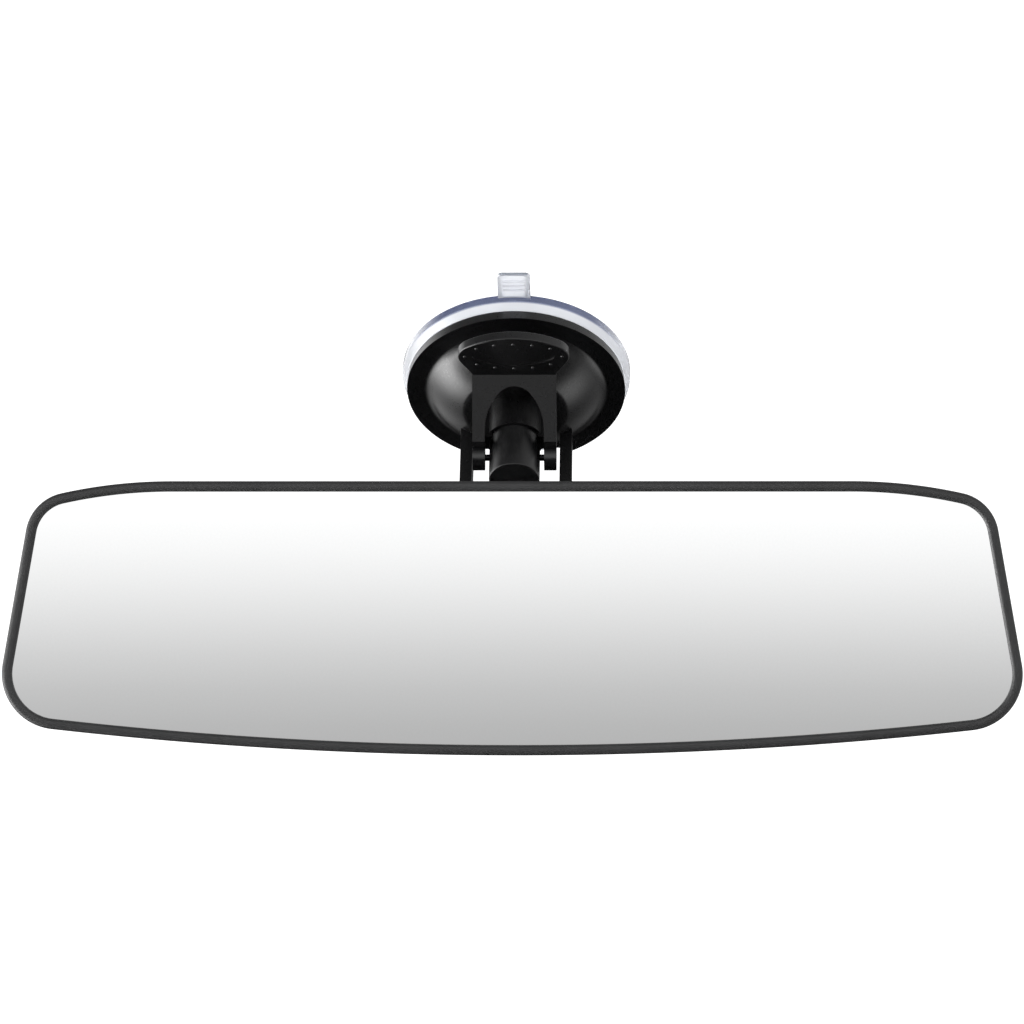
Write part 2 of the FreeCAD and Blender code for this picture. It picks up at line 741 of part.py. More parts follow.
def oval(half_width, half_depth, middle):
    """A flat four-arc oval across x, with its middle at a height along y."""
    join_x, join_y = oval_arcs(half_width, half_depth)[1:]
    centre = Vector(0, middle, 0)
    joins = [
        centre + Vector(x * join_x, y * join_y, 0) for x, y in ((1, 1), (-1, 1), (-1, -1), (1, -1))
    ]
    crests = [
        centre + Vector(x, y, 0)
        for x, y in ((0, half_depth), (-half_width, 0), (0, -half_depth), (half_width, 0))
    ]
    arcs = [
        Part.Arc(joins[number], crests[number], joins[(number + 1) % 4]).toShape()
        for number in range(4)
    ]
    return Part.Face(Part.Wire(arcs))


def thumb_outline():
    """Oval whose lower half runs out in two straight lines to the corners of the plate."""
    half_width = mm("thumb_width") / 2
    half_depth = mm("thumb_half_depth")
    middle = mm("thumb_offset")
    tip, join_x, join_y = oval_arcs(half_width, half_depth)
    corner = Vector(mm("lever_width") / 2, 0, 0)
    tip_middle = Vector(half_width - tip, middle, 0)
    way = corner - tip_middle
    angle = math.atan2(way.y, way.x) + math.acos(tip / way.Length)
    touch = tip_middle + Vector(math.cos(angle), math.sin(angle), 0) * tip
    join = Vector(join_x, middle + join_y, 0)
    widest = Vector(half_width, middle, 0)
    right = [
        Part.LineSegment(corner, touch).toShape(),
        Part.Arc(touch, widest, join).toShape(),
    ]
    left = [edge.mirror(ORIGIN, X_AXIS) for edge in right]
    crest = Vector(0, middle + half_depth, 0)
    far_join = Vector(-join.x, join.y, 0)
    top = Part.Arc(join, crest, far_join).toShape()
    foot = Part.LineSegment(Vector(-corner.x, 0, 0), corner).toShape()
    return Part.Face(Part.Wire(Part.__sortEdges__([foot, *right, top, *left])))


def thumb_pad():
    """Oval pad beyond the bend, with straight shoulders, a shallow oval and a ring of dots."""
    slab = thumb_outline().extrude(Vector(0, 0, -mm("thumb_thickness")))
    rims = [
        edge
        for edge in slab.Edges
        if edge.BoundBox.ZLength < 1e-6 and edge.BoundBox.YMax > mm("thumb_edge")
    ]
    slab = slab.makeFillet(mm("thumb_edge"), rims)
    grip = mm("grip_offset")
    sink = oval(mm("recess_width") / 2, mm("recess_half_depth"), grip)
    sink = sink.extrude(Vector(0, 0, -mm("recess_sink")))
    slab = slab.cut(sink)
    radius = mm("dot_diameter") / 2
    height = mm("dot_height")
    round_radius = (radius * radius + height * height) / (2 * height)
    ring = Part.Ellipse(Vector(0, grip, 0), mm("grip_width") / 2, mm("grip_depth") / 2).toShape()
    for place in ring.discretize(Number=int(mm("dot_count")) + 1)[1:]:
        slab = slab.fuse(Part.makeSphere(round_radius, place + Z_AXIS * (height - round_radius)))
    slope = math.radians(mm("lever_slope_angle"))
    along = mm("lever_length")
    face = mm("lever_face")
    bend = Vector(
        0,
        along * math.cos(slope) + face * math.sin(slope),
        -along * math.sin(slope) + face * math.cos(slope),
    )
    slab.Placement = FreeCAD.Placement(bend, FreeCAD.Rotation(X_AXIS, mm("thumb_slope_angle")))
    return slab


# ---------------------------------------------------------------- arm and hinge


def ribbon(points, half):
    """A flat band of constant width along a bent line in the y-z plane, with mitred bends."""
    sides = ([], [])
    for number, point in enumerate(points):
        before = points[number] - points[number - 1] if number else None
        after = points[number + 1] - point if number + 1 < len(points) else None
        ways = [step.normalize() for step in (before, after) if step is not None]
        way = Vector(0, 0, 0)
        for step in ways:
            way = way + step
        way = way.normalize()
        normal = Vector(0, -way.z, way.y)
        reach = half / abs(way.dot(ways[0]))
        sides[0].append(point + normal * reach)
        sides[1].append(point - normal * reach)
    corners = sides[0] + sides[1][::-1]
    return Part.Face(Part.makePolygon(corners + corners[:1]))


def stud_way():
    """Direction from the ball to the arm."""
    slope = math.radians(mm("stud_slope_angle"))
    return Vector(0, math.cos(slope), math.sin(slope))


def mirror_arm():
    """Cranked arm: a wide barrel between the ears, tapering to the boss that grips the ball stud."""
    way = stud_way()
    seat = BALL + way * mm("stud_seat")
    elbow = BALL + way * mm("stud_elbow")
    width = mm("arm_width")
    boss = mm("arm_boss") / 2
    half = mm("arm_thickness") / 2
    band = ribbon([HINGE, elbow, seat], half)
    band.translate(Vector(-width / 2, 0, 0))
    slab = band.extrude(Vector(width, 0, 0))
    run = elbow - HINGE
    edge = mm("arm_barrel")
    corners = [
        HINGE + Vector(width / 2, 0, 0) - run * 0.5,
        HINGE + Vector(width / 2, 0, 0) + run * 0.25,
        elbow + Vector(boss, 0, 0),
        elbow + Vector(boss, 0, 0) + run * 2.0,
    ]
    mirrored = [Vector(-point.x, point.y, point.z) for point in corners[::-1]]
    loop = corners + mirrored
    plan = Part.Face(Part.makePolygon(loop + loop[:1]))
    normal = run.cross(X_AXIS).normalize()
    thick = 4 * edge
    plan.translate(normal * (-thick))
    slab = slab.common(plan.extrude(normal * (2 * thick)))
    barrel = rod(edge / 2, HINGE - X_AXIS * (width / 2), HINGE + X_AXIS * (width / 2))
    socket = rod(boss, seat, elbow)
    shape = slab.fuse([barrel, socket, Part.makeSphere(boss, elbow)]).removeSplitter()
    hole = mm("hinge_screw") / 2 + mm("hinge_fit")
    shape = shape.cut(rod(hole, HINGE - X_AXIS * width, HINGE + X_AXIS * width))
    bite = seat + way * (mm("stud_bite") + mm("stud_fit"))
    shank = mm("stud_shank") / 2 + mm("stud_fit")
    shape = shape.cut(rod(shank, seat - way, bite))
    return plain("mirror_arm", shape, FreeCAD.Placement())


def hinge_screw():
    """Socket-head screw through the ears and the arm."""
    outer = mm("ear_gap") / 2 + mm("ear_thickness")
    radius = mm("hinge_screw") / 2
    end = outer + mm("hinge_nut_height") + mm("hinge_tail")
    height = mm("hinge_head_height")
    head = rod(mm("hinge_head") / 2, HINGE + X_AXIS * outer, HINGE + X_AXIS * (outer + height))
    rim = [edge for edge in head.Edges if edge.BoundBox.XMin > outer + height / 2]
    head = head.makeFillet(height / 8, rim)
    shank = rod(radius, HINGE - X_AXIS * end, HINGE + X_AXIS * (outer + radius / 4))
    key = hexagon(mm("hinge_key"), height / 2)
    key.Placement = FreeCAD.Placement(
        HINGE + X_AXIS * (outer + height / 2), FreeCAD.Rotation(Y_AXIS, QUARTER_TURN)
    )
    return plain("hinge_screw", shank.fuse(head).removeSplitter().cut(key), FreeCAD.Placement())


def hexagon(flats, height):
    """A hexagonal prism along z."""
    radius = flats / math.sqrt(3)
    angles = [math.tau * number / 6 for number in range(6)]
    corners = [Vector(radius * math.cos(a), radius * math.sin(a), 0) for a in angles]
    return Part.Face(Part.makePolygon(corners + corners[:1])).extrude(Z_AXIS * height)


def hinge_nut():
    """Nut on the far ear."""
    outer = mm("ear_gap") / 2 + mm("ear_thickness")
    height = mm("hinge_nut_height")
    nut = hexagon(mm("hinge_nut"), height)
    nut = nut.cut(Part.makeCylinder(mm("hinge_screw") / 2 + mm("hinge_fit"), height))
    place = FreeCAD.Placement(HINGE - X_AXIS * (outer + height), FreeCAD.Rotation(Y_AXIS, QUARTER_TURN))
    return plain("hinge_nut", nut, place)


def friction_washers():
    """One washer each side of the arm's barrel."""
    gap = mm("washer_gap")
    near = mm("arm_width") / 2 + gap
    far = mm("ear_gap") / 2 - gap
    rings = []
    for side in (-1, 1):
        start = HINGE + X_AXIS * (side * near)
        end = HINGE + X_AXIS * (side * far)
        ring = rod(mm("washer_diameter") / 2, start, end)
        rings.append(ring.cut(rod(mm("hinge_screw") / 2 + mm("hinge_fit"), start, end)))
    return plain("friction_washers", Part.makeCompound(rings), FreeCAD.Placement())


# ---------------------------------------------------------------- ball joint


def ball_stud():
    """Steel ball on a necked stud with a seating collar."""
    body = new_body("ball_stud", stud_frame())
    ball = size("ball_diameter") / 2
    neck = size("stud_neck") / 2
    seat = size("stud_seat")
    collar = size("stud_collar") / 2
    shank = size("stud_shank") / 2
    end = seat + size("stud_bite")
    low = seat - size("stud_collar_height")
    sketch_neck = Size(
        math.sqrt(float(ball) ** 2 - float(neck) ** 2),
        f"sqrt({(ball * ball - neck * neck).text})",
    )
    revolve(
        body,
        "stud_round",
        [
            (ZERO, -ball, ball),
            (ball, ZERO, ball),
            (neck, sketch_neck),
            (neck, low),
            (collar, low),
            (collar, seat),
            (shank, seat),
            (shank, end),
            (ZERO, end),
        ],
    )
    return body


def stud_frame():
    """Origin in the ball, z along the stud towards the arm."""
    return FreeCAD.Placement(BALL, FreeCAD.Rotation(Z_AXIS, stud_way()))


def mouth_cone():
    """The cone that the stud swings in, in the socket's frame."""
    length = mm("stud_seat") * 2
    radius = length * math.tan(math.radians(mm("mouth_angle")))
    way = UPRIGHT.inverted().multVec(stud_way())
    return Part.makeCone(0, radius, length, ORIGIN, way)


def liner_radii():
    inner = mm("ball_diameter") / 2 + mm("liner_gap")
    return inner, inner + mm("liner_wall")


def liner_half(label, side):
    """Left or right half of the slippery shell round the ball, open where the stud leaves."""
    inner, outer = liner_radii()
    shell = Part.makeSphere(outer).cut(Part.makeSphere(inner))
    reach = 2 * outer
    near = mm("liner_split") / 2
    corner = Vector(near if side > 0 else -near - reach, -reach, -reach)
    half = shell.common(Part.makeBox(reach, 2 * reach, 2 * reach, corner))
    return plain(label, half.cut(mouth_cone()), SOCKET)


def seat_radius():
    return liner_radii()[1] + mm("liner_gap")


def cup_radius():
    return seat_radius() + mm("cup_wall")


def cup_front():
    """Height of the pressure cup's front face above the ball."""
    return seat_radius() + mm("cup_floor")


def pressure_cup():
    """Front seat of the ball, pressed on by the spring."""
    back = mm("liner_split")
    cup = Part.makeCylinder(cup_radius(), cup_front() - back, Vector(0, 0, back))
    shape = cup.cut(Part.makeSphere(seat_radius())).cut(mouth_cone())
    return plain("pressure_cup", shape, SOCKET)


def disc_spring():
    """Conical steel spring between the clamp plate and the pressure cup."""
    inner = mm("disc_spring_bore") / 2
    outer = cup_radius() - mm("cup_wall") / 2
    low = cup_front()
    thickness = mm("disc_spring")
    rise = mm("disc_spring_height") - thickness
    corners = [
        Vector(inner, 0, low + rise),
        Vector(outer, 0, low),
        Vector(outer, 0, low + thickness),
        Vector(inner, 0, low + rise + thickness),
    ]
    ring = Part.Face(Part.makePolygon(corners + corners[:1])).revolve(ORIGIN, Z_AXIS, FULL_TURN)
    return plain("disc_spring", ring, SOCKET)


def plate_level():
    """Height of the clamp plate's back face above the ball."""
    return cup_front() + mm("disc_spring_height")


def screw_places():
    radius = mm("clamp_screw_circle") / 2
    angles = [math.tau * (number + 0.5) / 4 for number in range(4)]
    return [Vector(radius * math.cos(a), radius * math.sin(a), 0) for a in angles]


def clamp_plate():
    """Steel disc screwed to four posts, which holds the spring and the cup."""
    level = plate_level()
    thickness = mm("clamp_plate")
    plate = Part.makeCylinder(mm("clamp_diameter") / 2, thickness, Vector(0, 0, level))
    hole = mm("clamp_screw_diameter") / 2 + mm("clamp_hole_gap")
    for place in screw_places():
        place.z = level - thickness
        plate = plate.cut(Part.makeCylinder(hole, 3 * thickness, place))
    return plain("clamp_plate", plate, SOCKET)


def clamp_screws():
    """Four pan-head screws."""
    top = plate_level() + mm("clamp_plate")
    radius = mm("clamp_screw_diameter") / 2
    length = mm("clamp_screw_length")
    screws = []
    for place in screw_places():
        seat = mm("clamp_screw_head") / 2
        head = Part.makeCone(seat, seat * mm("clamp_head_taper"), mm("clamp_head_height"))
        head.translate(place + Vector(0, 0, top))
        shank = Part.makeCylinder(radius, length, place + Vector(0, 0, top - length))
        screws.append(head.fuse(shank).removeSplitter())
    return plain("clamp_screws", Part.makeCompound(screws), SOCKET)


# ---------------------------------------------------------------- mirror head


def arc_edge(middle, radius, first, last):
    """Arc about a centre between two directions given as points on it."""
    one = (first - middle).normalize()
    two = (last - middle).normalize()
    bow = middle + (one + two).normalize() * radius
    return Part.Arc(first, bow, last).toShape()


def head_outline(inset):
    """The head's outline, moved in by the same amount all round. All corners keep their centres."""
    half_height = mm("head_height") / 2
    lean = math.radians(mm("head_lean_angle"))
    normal = Vector(math.cos(lean), math.sin(lean), 0)
    upward = Vector(-math.sin(lean), math.cos(lean), 0)
    crown = mm("head_crown_radius")
    foot = mm("head_foot_radius")
    top = mm("head_top_radius")
    droop = mm("head_droop_radius")
    crown_middle = Vector(0, crown - half_height, 0)
    foot_x = mm("head_width") / 2 - foot
    foot_y = crown_middle.y - math.sqrt((crown - foot) ** 2 - foot_x**2)
    foot_middle = Vector(foot_x, foot_y, 0)
    side = normal.dot(foot_middle) + foot
    droop_middle = Vector(mm("head_flat") / 2, half_height - droop, 0)
    off = side - top - normal.dot(droop_middle)
    climb = math.sqrt((droop - top) ** 2 - off**2)
    top_middle = droop_middle + normal * off + upward * climb
    flat_end = Vector(droop_middle.x, half_height - inset, 0)
    droop_end = droop_middle + (top_middle - droop_middle).normalize() * (droop - inset)
    side_top = top_middle + normal * (top - inset)
    side_foot = foot_middle + normal * (foot - inset)
    crown_end = crown_middle + (foot_middle - crown_middle).normalize() * (crown - inset)
    right = [
        arc_edge(droop_middle, droop - inset, flat_end, droop_end),
        arc_edge(top_middle, top - inset, droop_end, side_top),
        Part.LineSegment(side_top, side_foot).toShape(),
        arc_edge(foot_middle, foot - inset, side_foot, crown_end),
    ]
    left = [edge.mirror(ORIGIN, X_AXIS) for edge in right]
    mirrored_flat = Vector(-flat_end.x, flat_end.y, 0)
    mirrored_crown = Vector(-crown_end.x, crown_end.y, 0)
    lowest = Vector(0, -half_height + inset, 0)
    level = Part.LineSegment(mirrored_flat, flat_end).toShape()
    bottom = Part.Arc(crown_end, lowest, mirrored_crown).toShape()
    return Part.Wire(Part.__sortEdges__([level, *right, bottom, *left]))


def head_slab(inset, front, back):
    """A slab of the head's outline between two depths behind the front of the frame."""
    face = Part.Face(head_outline(inset))
    face.translate(Vector(0, 0, -front))
    return face.extrude(Vector(0, 0, front - back))


def front_frame():
    """Rounded frame with a lip in front of the glass."""
    depth = mm("frame_depth")
    shape = head_slab(0, 0, depth)
    rim = [edge for edge in shape.Edges if edge.BoundBox.ZMin > -depth / 2]
    shape = shape.makeFillet(mm("frame_round"), rim)
    shape = shape.cut(head_slab(mm("frame_face"), -1, depth + 1))
    shape = shape.cut(head_slab(mm("frame_wall"), mm("frame_lip"), depth + 1))
    inner = mm("frame_face")
    rim = [edge for edge in shape.Edges if on_front(edge, inner)]
    shape = shape.makeFillet(mm("frame_inner_round"), rim)
    return plain("front_frame", shape, HEAD)


def on_front(edge, inset):
    """Whether an edge is part of the window's front rim."""
    window = mm("head_width") / 2 - inset
    flat = edge.BoundBox.ZMin > -1e-6
    middle = edge.valueAt((edge.FirstParameter + edge.LastParameter) / 2)
    probe = Part.Vertex(Vector(middle.x, middle.y, 0))
    near = probe.distToShape(head_outline(inset))[0] < 1e-4
    return flat and near and abs(middle.x) <= window


def mirror_glass():
    """Flat glass, with its ground edge broken front and back."""
    front = mm("frame_lip")
    inset = mm("frame_wall") + mm("glass_gap")
    glass = head_slab(inset, front, front + mm("glass_thickness"))
    rims = [edge for edge in glass.Edges if edge.BoundBox.ZLength < 1e-6]
    glass = glass.makeChamfer(mm("glass_gap"), rims)
    return plain("mirror_glass", glass, HEAD)


def foam_places():
    outer = mm("foam_outer")
    inner = mm("foam_inner")
    up = mm("foam_up")
    return [Vector(x, y, 0) for x in (-outer, -inner, inner, outer) for y in (-up, up)]


def foam_level():
    """Depth of the back of the glass."""
    return mm("frame_lip") + mm("glass_thickness")


def centred_box(length, height, front, back, place):
    corner = Vector(place.x - length / 2, place.y - height / 2, -back)
    return Part.makeBox(length, height, back - front, corner)


def foam_pads():
    """Foam pads that press the glass on the frame's lip."""
    level = foam_level()
    back = level + mm("foam_thickness")
    pads = [
        centred_box(mm("foam_length"), mm("foam_height"), level, back, place)
        for place in foam_places()
    ]
    return plain("foam_pads", Part.makeCompound(pads), HEAD)


def crown_block(depth):
    """A long upright cylinder that gives the shell its gently bowed back."""
    half = mm("head_width") / 2
    fall = mm("shell_fall")
    radius = (half * half + fall * fall) / (2 * fall)
    shift = mm("shell_depth") - depth
    height = 2 * mm("head_height")
    start = Vector(0, -height / 2, radius - mm("shell_depth"))
    return Part.makeCylinder(radius - shift, height, start, Y_AXIS)


def rear_shell():
    """Bowed shell with a tongue inside the frame, foam seats and the ball's socket."""
    wall = mm("shell_wall")
    front = mm("frame_depth")
    depth = mm("shell_depth")
    outer = head_slab(0, front, depth + 1).common(crown_block(depth))
    rim = [edge for edge in outer.Edges if edge.BoundBox.ZMax < -front - 1]
    rim = [edge for edge in rim if edge.BoundBox.ZLength < mm("shell_fall") + 1]
    outer = outer.makeFillet(mm("shell_round"), rim)
    tongue_out = mm("frame_wall") + mm("tongue_gap")
    tongue_front = foam_level() + mm("tongue_end_gap")
    tongue = head_slab(tongue_out, tongue_front, front)
    hollow_inset = tongue_out + mm("tongue_wall")
    hollow = head_slab(hollow_inset, tongue_front - 1, depth)
    hollow = hollow.common(crown_block(depth - wall))
    shell = outer.fuse(tongue).cut(hollow)
    seats = []
    seat_front = foam_level() + mm("foam_thickness")
    for place in foam_places():
        seat = centred_box(mm("foam_length"), mm("foam_height"), seat_front, depth - wall / 2, place)
        core = centred_box(
            mm("foam_length") - 2 * wall, mm("foam_height") - 2 * wall, seat_front + wall, depth, place
        )
        seats.append(seat.cut(core).common(crown_block(depth - wall / 2)))
    shell = shell.fuse(seats + shell_posts() + [shell_collar()])
    shell = shell.cut(shell_hole()).cut(screw_holes()).removeSplitter()
    return plain("rear_shell", shell, HEAD)


def socket_outer():
    return cup_radius() + mm("cup_gap") + mm("socket_wall")


def flange_back():
    """Height of the housing flange's back face above the ball."""
    return plate_level() - mm("housing_flange")


def along_socket(radius, low, high):
    """A cylinder about the socket's axis in the head's frame, between two heights above the ball."""
    start = BALL_IN_HEAD + Vector(0, 0, low)
    return rod(radius, start, BALL_IN_HEAD + Vector(0, 0, high))


def shell_back():
    """Height of the shell's back face above the ball, and of the inner face of its wall."""
    outer = mm("ball_depth") - mm("shell_depth")
    return outer, outer + mm("shell_wall")


def shell_collar():
    """Ring on the back of the shell, round the ball's housing."""
    outer, inner = shell_back()
    radius = socket_outer() + mm("housing_gap") + mm("collar_wall")
    return along_socket(radius, outer - mm("collar_height"), (outer + inner) / 2)


def shell_hole():
    outer, inner = shell_back()
    radius = socket_outer() + mm("housing_gap")
    return along_socket(radius, outer - 2 * mm("collar_height"), inner + mm("shell_wall"))


def shell_posts():
    """Posts that carry the housing's flange."""
    outer, inner = shell_back()
    posts = []
    for place in screw_places():
        foot = BALL_IN_HEAD + place + Vector(0, 0, (outer + inner) / 2)
        head = BALL_IN_HEAD + place + Vector(0, 0, flange_back())
        posts.append(rod(mm("clamp_post") / 2, foot, head))
    return posts


def screw_holes():
    """Pilot holes in the posts, a little deeper than the screws."""
    top = plate_level() + mm("clamp_plate")
    deep = top - mm("clamp_screw_length") - mm("clamp_hole_gap")
    holes = []
    for place in screw_places():
        foot = BALL_IN_HEAD + place + Vector(0, 0, deep)
        head = BALL_IN_HEAD + place + Vector(0, 0, top)
        holes.append(rod(mm("clamp_screw_diameter") / 2 + mm("clamp_bite"), foot, head))
    return Part.makeCompound(holes)


def socket_housing():
    """Round housing of the ball: seat, bore for the pressure cup, mouth and a screwed flange."""
    outer = socket_outer()
    front = plate_level()
    bore = cup_radius() + mm("cup_gap")
    thickness = mm("housing_flange")
    shape = Part.makeSphere(outer)
    shape = shape.fuse(
        [
            Part.makeCylinder(outer, front),
            Part.makeCylinder(mm("clamp_diameter") / 2, thickness, Vector(0, 0, front - thickness)),
        ]
    ).removeSplitter()
    room = Part.makeCylinder(2 * outer, 2 * outer, Vector(0, 0, front))
    shape = shape.cut(room).cut(Part.makeSphere(seat_radius()))
    shape = shape.cut(Part.makeCylinder(bore, 2 * front)).cut(mouth_cone())
    hole = mm("clamp_screw_diameter") / 2 + mm("clamp_hole_gap")
    for place in screw_places():
        shape = shape.cut(Part.makeCylinder(hole, 2 * front, place))
    return plain("socket_housing", shape, SOCKET)


# ---------------------------------------------------------------- assembly and export


def cam_lever():
    """The lever's own features, joined to its thumb pad."""
    shape = lever()
    tools = [item for item in document.Objects if item.Label == "lever"]
    for item in tools:
        item.Label = "lever_arms"
    return plain("lever", shape, LEVER)


def make_nodes():
    return [
        suction_pad(),
        pad_stem(),
        return_spring(),
        base_cover(),
        lever_pin(),
        cam_lever(),
        mirror_arm(),
        hinge_screw(),
        hinge_nut(),
        friction_washers(),
        ball_stud(),
        liner_half("socket_liner_left", -1),
        liner_half("socket_liner_right", 1),
        pressure_cup(),
        disc_spring(),
        clamp_plate(),
        clamp_screws(),
        socket_housing(),
        rear_shell(),
        front_frame(),
        mirror_glass(),
        foam_pads(),
    ]


def check(nodes):
    """Stops before anything is written if a feature failed or a shape is unsound."""
    for item in document.Objects:
        if {"Invalid", "Error"} & set(item.State):
            raise RuntimeError(f"{item.Label} failed: {item.State}")
    for node in nodes:
        if node.Shape.isNull() or not node.Shape.isValid():
            raise RuntimeError(f"{node.Label} has no sound shape")
        if not node.Shape.Solids:
            raise RuntimeError(f"{node.Label} has no solid")


nodes = make_nodes()
document.recompute()
check(nodes)
os.makedirs("parts", exist_ok=True)
for node in nodes:
    solids = node.Shape.Solids
    volume = sum(solid.Volume for solid in solids)
    print(f"{node.Label}: {len(solids)} solid(s), {volume:.1f} mm3")
    node.Shape.exportStep(f"parts/{node.Label}.step")
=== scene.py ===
# %% [markdown]
# # An interior rearview mirror on a suction cup
# The mirror hangs from a windscreen. A clear suction pad carries a black cover, a forked cam
# lever locks it, and a ball joint lets the driver aim the glass. This file dresses the
# engineering solids, which arrive already in place, in surfaces and finishes that follow the
# photograph.

import math

import bmesh
import bpy
import numpy as np
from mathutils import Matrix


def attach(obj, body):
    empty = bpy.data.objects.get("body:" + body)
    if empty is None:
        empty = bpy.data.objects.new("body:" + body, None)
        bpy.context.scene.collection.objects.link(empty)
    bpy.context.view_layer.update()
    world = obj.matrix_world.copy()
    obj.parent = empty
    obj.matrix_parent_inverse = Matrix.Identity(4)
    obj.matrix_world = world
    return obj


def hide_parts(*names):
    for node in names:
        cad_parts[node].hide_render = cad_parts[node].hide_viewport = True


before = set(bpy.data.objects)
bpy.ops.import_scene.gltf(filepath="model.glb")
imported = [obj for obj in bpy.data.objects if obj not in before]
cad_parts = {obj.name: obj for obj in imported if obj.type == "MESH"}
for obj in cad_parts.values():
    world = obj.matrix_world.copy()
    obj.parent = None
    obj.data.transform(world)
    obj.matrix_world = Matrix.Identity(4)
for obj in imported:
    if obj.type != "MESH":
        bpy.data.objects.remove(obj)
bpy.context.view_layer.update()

# %% [markdown]
# Everything below is worked out in millimetres and in the frame where it is simplest: the cup's
# own frame has its height along the cup's axis, and the head's frame has the glass facing along
# its z. A small set of turns and shifts then puts points where the solids are, in metres.

# %% Frames of reference
MM = 0.001
CUP_TILT = math.radians(141.0)
BALL = np.array([0.0, -48.017, -68.819])
HEAD = BALL + np.array([0.0, -19.0, -6.0])
STUD_SLOPE = math.radians(20.0)


def about_x(points, angle):
    """Turns points about the x axis: y' = y cos - z sin, z' = y sin + z cos."""
    x, y, z = np.moveaxis(np.asarray(points, float), -1, 0)
    c, s = math.cos(angle), math.sin(angle)
    return np.stack([x, y * c - z * s, y * s + z * c], axis=-1)


def in_cup(points):
    """From the cup's frame (z is height off the windscreen) to the row frame, in metres."""
    return about_x(points, CUP_TILT) * MM


def in_head(points):
    """From the head's frame (z comes out of the glass) to the row frame, in metres."""
    return (about_x(points, math.pi / 2) + HEAD) * MM


def in_stud(points):
    """From a frame in the ball with z along the stud, to the row frame, in metres."""
    return (about_x(points, STUD_SLOPE - math.pi / 2) + BALL) * MM


print("centre of the mirror's face, mm:", HEAD)

# %% [markdown]
# Two sizes of the suction pad are used both by its shape and by the painted light in its colour:
# the radius of its rim, and how far the pull tab's end lies from the cup's axis.

# %% Sizes of the pad, mm
PAD_RIM = 35.0
TAB_END = 45.2
print("rim of the pad:", PAD_RIM, "end of the tab:", TAB_END)

# %% [markdown]
# Finishes start from the real material and how its surface was made. Colours are written as they
# look on a screen and turned to linear light by one function. Patterns are scaled from
# millimetres: a noise scale of 1000 / size gives features of about that size, because a unit here
# is a metre.

# %% Colours and nodes


def linear(code):
    """sRGB hex to linear light: v / 12.92 up to 0.04045, else ((v + 0.055) / 1.055) ^ 2.4."""
    v = np.array([int(code[k : k + 2], 16) for k in (1, 3, 5)]) / 255.0
    light = np.where(v <= 0.04045, v / 12.92, ((v + 0.055) / 1.055) ** 2.4)
    return (*light.tolist(), 1.0)


def add(tree, kind, links=None, inputs=None, stops=(), **settings):
    """Adds a node with its settings, socket values, ramp stops (place, hex) and incoming links.

    A link names a node, whose first output is used, or one output of a node.
    """
    node = tree.nodes.new(kind)
    for name, value in settings.items():
        setattr(node, name, value)
    for name, value in (inputs or {}).items():
        node.inputs[name].default_value = value
    for number, (place, code) in enumerate(stops):
        if number == len(node.color_ramp.elements):
            node.color_ramp.elements.new(place)
        element = node.color_ramp.elements[number]
        element.position, element.color = place, linear(code)
    for name, source in (links or {}).items():
        output = source.outputs[0] if hasattr(source, "outputs") else source
        tree.links.new(output, node.inputs[name])
    return node


def blank(name):
    """An empty material: its tree, and the Object coordinates that every pattern here reads."""
    material = bpy.data.materials.new(name)
    material.use_nodes = True
    material.node_tree.nodes.clear()
    place = add(material.node_tree, "ShaderNodeTexCoord").outputs["Object"]
    return material, material.node_tree, place


finish = {}
print("#808080 in linear light:", round(linear("#808080")[0], 3))

# %% [markdown]
# **Spark-eroded ABS.** The head's frame and shell are black ABS, moulded in steel that was etched
# by sparks, which leaves an even grain of fine pits. The grain spreads the light, so the plastic
# reads as charcoal and keeps no sharp highlight. Real pits are about 0.05 mm across; they are
# drawn at 0.35 mm, the finest that shows at this distance.


# %% Grained ABS
def grained_abs():
    """Charcoal plastic with pits of 0.35 mm and a slower cloudiness of 9 mm."""
    material, tree, place = blank("spark_eroded_black_abs")
    pits = add(
        tree,
        "ShaderNodeTexNoise",
        {"Vector": place},
        {"Scale": 1000 / 0.35, "Detail": 3.0, "Roughness": 0.65},
    )
    cloud = add(tree, "ShaderNodeTexNoise", {"Vector": place}, {"Scale": 1000 / 9.0, "Detail": 2.0})
    both = add(tree, "ShaderNodeMath", {0: pits, 1: cloud}, operation="ADD")
    spread = add(tree, "ShaderNodeMapRange", {"Value": both}, {"From Min": 0.6, "From Max": 1.4})
    tones = [(0.0, "#121213"), (1.0, "#1E1E1F")]
    colour = add(tree, "ShaderNodeValToRGB", {"Fac": spread}, stops=tones)
    rough = add(
        tree,
        "ShaderNodeMapRange",
        {"Value": pits},
        {"From Min": 0.3, "From Max": 0.7, "To Min": 0.42, "To Max": 0.6},
    )
    relief = add(tree, "ShaderNodeBump", {"Height": pits}, {"Strength": 1.0, "Distance": 0.05 * MM})
    shader = add(
        tree,
        "ShaderNodeBsdfPrincipled",
        {"Base Color": colour, "Roughness": rough, "Normal": relief},
        {"IOR": 1.52},
    )
    add(tree, "ShaderNodeOutputMaterial", {"Surface": shader})
    return material


finish["textured_black_abs"] = grained_abs()
print("finish:", finish["textured_black_abs"].name)

# %% [markdown]
# **Glossy ABS.** The cover and the lever come from polished moulds. Nearly all their light is
# reflection, broken by a faint waviness where the wall sank as it cooled, and by fine rubbing
# where fingers go.


